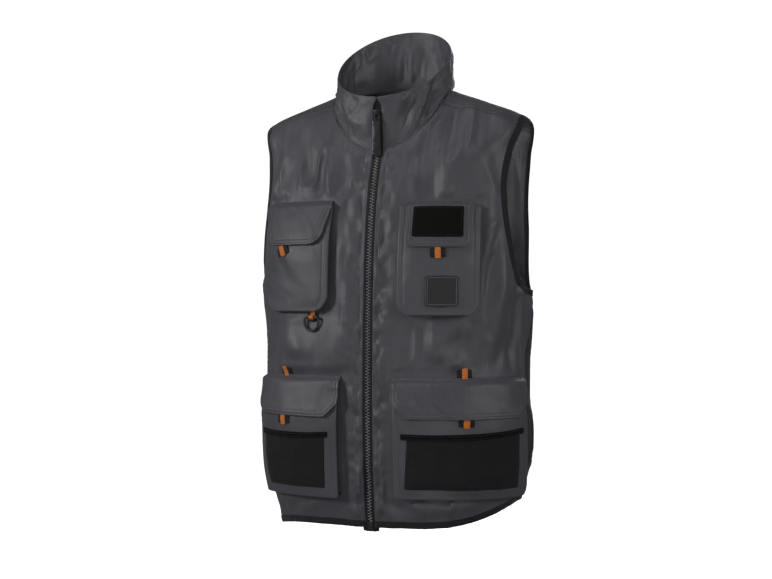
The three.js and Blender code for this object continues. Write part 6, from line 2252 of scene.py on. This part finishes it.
            top = body_face if tab.above else bag
            web = Patch(across, z, *self.tab_size, 1.4, top, 0.3, 0.8, tab.tilt, 0.7, tuck=0.3, cell=1.4)
            Dress(f"{tab.name}_band", finishes.webbing, (f"{tab.name}_webbing",)).put(web.mesh())
            for side in (-1, 1):
                a = side * np.full(30, 7.6)
                spots = web.place(a, np.linspace(-5.2, 5.2, 30))
                sew_on(threads, lambda m, n, w=web: w.outer(m, n) + 0.35, *spots)
            strip = Patch(
                across, z, *self.strip_size, 1.1, top, 1.9, 0.7, tab.tilt, 0.9, tuck=0.2, cell=1.2
            )
            Dress(f"{tab.name}_accent", finishes.orange, (f"{tab.name}_strip",)).put(strip.mesh())

    def dress_ring(self, finishes: Finishes, threads: Piece) -> None:
        """Builds the ring's webbing, its orange loop and the ring."""
        web = Patch(
            self.ring_across, self.ring_z, 18, 13, 1.4, body_face, 0.3, 0.8, arch=0.3, tuck=0.2, cell=1.4
        )
        Dress("ring_band", finishes.webbing, ("d_ring_webbing",)).put(web.mesh())
        web.stitches(threads, 1.6)
        pivot = np.array(self.ring_pivot)
        x_axis = np.array([math.cos(self.ring_turn), math.sin(self.ring_turn), 0.0])
        y_axis = np.array([-math.sin(self.ring_turn), math.cos(self.ring_turn), 0.0])
        z_axis = np.array([0.0, 0.0, 1.0])
        middle = 2.7
        turn = -np.linspace(0, 322, 40) * DEG
        eye = pack(middle * np.cos(turn), middle * np.sin(turn))
        tail = pack(np.full(7, middle), np.linspace(9.5, 0.6, 7))
        line = np.concatenate([tail, eye])
        path = pivot + line[:, :1] * y_axis + line[:, 1:] * z_axis
        loop = Piece()
        sweep(loop, path, x_axis, rounded_box(8.0, 1.3, 0.5, 3), False)
        Dress("ring_loop", finishes.orange, ("d_ring_loop",)).put(loop)
        half = (self.ring_width - self.ring_wire) / 2
        drop = self.ring_drop - self.ring_wire
        r = self.ring_wire * 0.9
        corner = np.linspace(90, 0, 7) * DEG
        bow = np.linspace(0, math.pi, 27)[1:-1]
        right = pack(half - r + r * np.cos(corner), -r + r * np.sin(corner))
        flat_bow = np.sign(np.cos(bow)) * np.abs(np.cos(bow)) ** 0.85
        bend = pack(half * flat_bow, -r - (drop - r) * np.sin(bow) ** 0.8)
        left = right[::-1] * np.array([-1, 1])
        bar = pack(np.linspace(-half + r, half - r, 12)[1:-1], np.zeros(10))
        line = np.concatenate([right, bend, left, bar])
        ring = Piece()
        path = pivot + line[:, :1] * x_axis + line[:, 1:] * z_axis
        sweep(ring, path, y_axis, disc(self.ring_wire / 2, 16), True)
        Dress("ring", finishes.moulding, ("d_ring",), "d_ring").put(ring)


@dataclass(frozen=True)
class Lamp:
    """An area light: place and target in metres, size and power."""

    name: str
    place: tuple[float, float, float]
    size: float
    power: float
    target: tuple[float, float, float] = (0.0, 0.0, -0.3)

    def build(self) -> None:
        """Adds the light, turned to its target."""
        data = bpy.data.lights.new(self.name, "AREA")
        data.energy, data.size, data.shape = self.power, self.size, "DISK"
        made = bpy.data.objects.new(self.name, data)
        made.location = self.place
        aim = np.array(self.target) - np.array(self.place)
        lean = math.atan2(math.hypot(aim[0], aim[1]), -aim[2])
        made.rotation_euler = (lean, 0.0, math.atan2(-aim[0], aim[1]))
        bpy.context.scene.collection.objects.link(made)


@dataclass(frozen=True)
class Studio:
    """Camera at the photograph's place, white surroundings and soft lights."""

    camera_at: tuple[float, float, float] = (0.7033, -2.0857, -0.3139)
    turn: float = 19.08
    lens: float = 64.03
    floor_level: float = -1.1
    floor_reach: float = 14.0
    world: float = 0.11
    lamps: tuple[Lamp, ...] = (
        Lamp("left", (-2.2, -1.9, 0.5), 0.75, 35.0),
        Lamp("right", (2.7, -1.1, 0.4), 0.75, 21.0),
        Lamp("high", (-0.3, -1.3, 2.3), 0.8, 13.0),
        Lamp("front", (0.9, -3.1, -1.0), 1.2, 14.0),
        Lamp("back", (0.3, 2.8, 0.6), 1.6, 24.0),
        Lamp("inside", (-0.08, 0.0, -0.14), 0.08, 0.16, (0.2, 0.06, -0.2)),
    )

    def build(self) -> None:
        """Adds the camera, world, floor and lights."""
        scene = bpy.context.scene
        data = bpy.data.cameras.new("camera")
        data.lens, data.sensor_width = self.lens, 36.0
        camera = bpy.data.objects.new("camera", data)
        camera.location = self.camera_at
        camera.rotation_euler = (math.pi / 2, 0.0, self.turn * DEG)
        scene.collection.objects.link(camera)
        scene.camera = camera
        scene.view_settings.view_transform = "Standard"
        sky = bpy.data.worlds.new("white")
        sky.use_nodes = True
        sky.node_tree.nodes["Background"].inputs[0].default_value = (1.0, 1.0, 1.0, 1.0)
        sky.node_tree.nodes["Background"].inputs[1].default_value = self.world
        scene.world = sky
        for lamp in self.lamps:
            lamp.build()
        self.surroundings()

    def surroundings(self) -> None:
        """Adds a pale floor and a white dome round it. Only the camera sees them: they light nothing."""
        turn = np.linspace(0, 2 * math.pi, 97)[:-1]
        lean = np.linspace(0, math.pi / 2, 25)[:-1, None]
        flat_out = np.array([0.01, 0.3, 1.0, 3.0, 6.0, 10.0])[:, None] * self.floor_reach / 10
        rise = self.floor_reach * np.sin(lean)
        for name, reach, level, pale in (
            ("floor", flat_out, 0 * flat_out, 0.96),
            ("dome", self.floor_reach * np.cos(lean), rise, 1.0),
        ):
            level = level + self.floor_level + 0 * turn
            points = pack(reach * np.cos(turn), reach * np.sin(turn), level)
            ids = np.arange(points[..., 0].size).reshape(points.shape[:2])
            made = Piece().add(points / MM, [cells(ids, around=True)[:, ::-1], ids[:1]]).object(name)
            shader = Shader(f"{name}_white")
            where = shader.node("ShaderNodeTexCoord").outputs["Object"]
            tints = (pale, pale, pale, 1.0), (1.0, 1.0, 1.0, 1.0)
            colour = shader.mix(shader.noise(where, 0.6, 3.0), *tints)
            shader.feed(shader.surface.inputs["Base Color"], colour)
            shader.feed(shader.surface.inputs["Emission Color"], colour)
            shader.feed(shader.surface.inputs["Emission Strength"], 1.0)
            shader.feed(shader.surface.inputs["Roughness"], 1.0)
            made.data.materials.append(shader.material)
            made.visible_diffuse = False
            made.visible_glossy = False
            made.visible_shadow = False


def main() -> None:
    """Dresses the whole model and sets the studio."""
    logging.basicConfig(level=logging.INFO, format="%(name)s: %(message)s")
    finishes = Finishes()
    Panels().dress(finishes)
    Bindings().dress(finishes)
    collar = Collar()
    collar.dress(finishes)
    Zip(collar).dress(finishes)
    looks = {"chest_left": (1.7, 0.3, 0.3), "chest_right": (2.1, 1.5, 0.6)}
    looks |= {"lower_left": (1.5, 1.9, 0.5), "lower_right": (1.4, 1.8, -0.4)}
    pockets = {p.name: Pocket(p, *looks[p.name]) for p in POCKETS}
    for pocket in pockets.values():
        pocket.dress(finishes)
    Fittings(pockets).dress(finishes)
    Studio().build()
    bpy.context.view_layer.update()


if __name__ == "__main__":
    main()
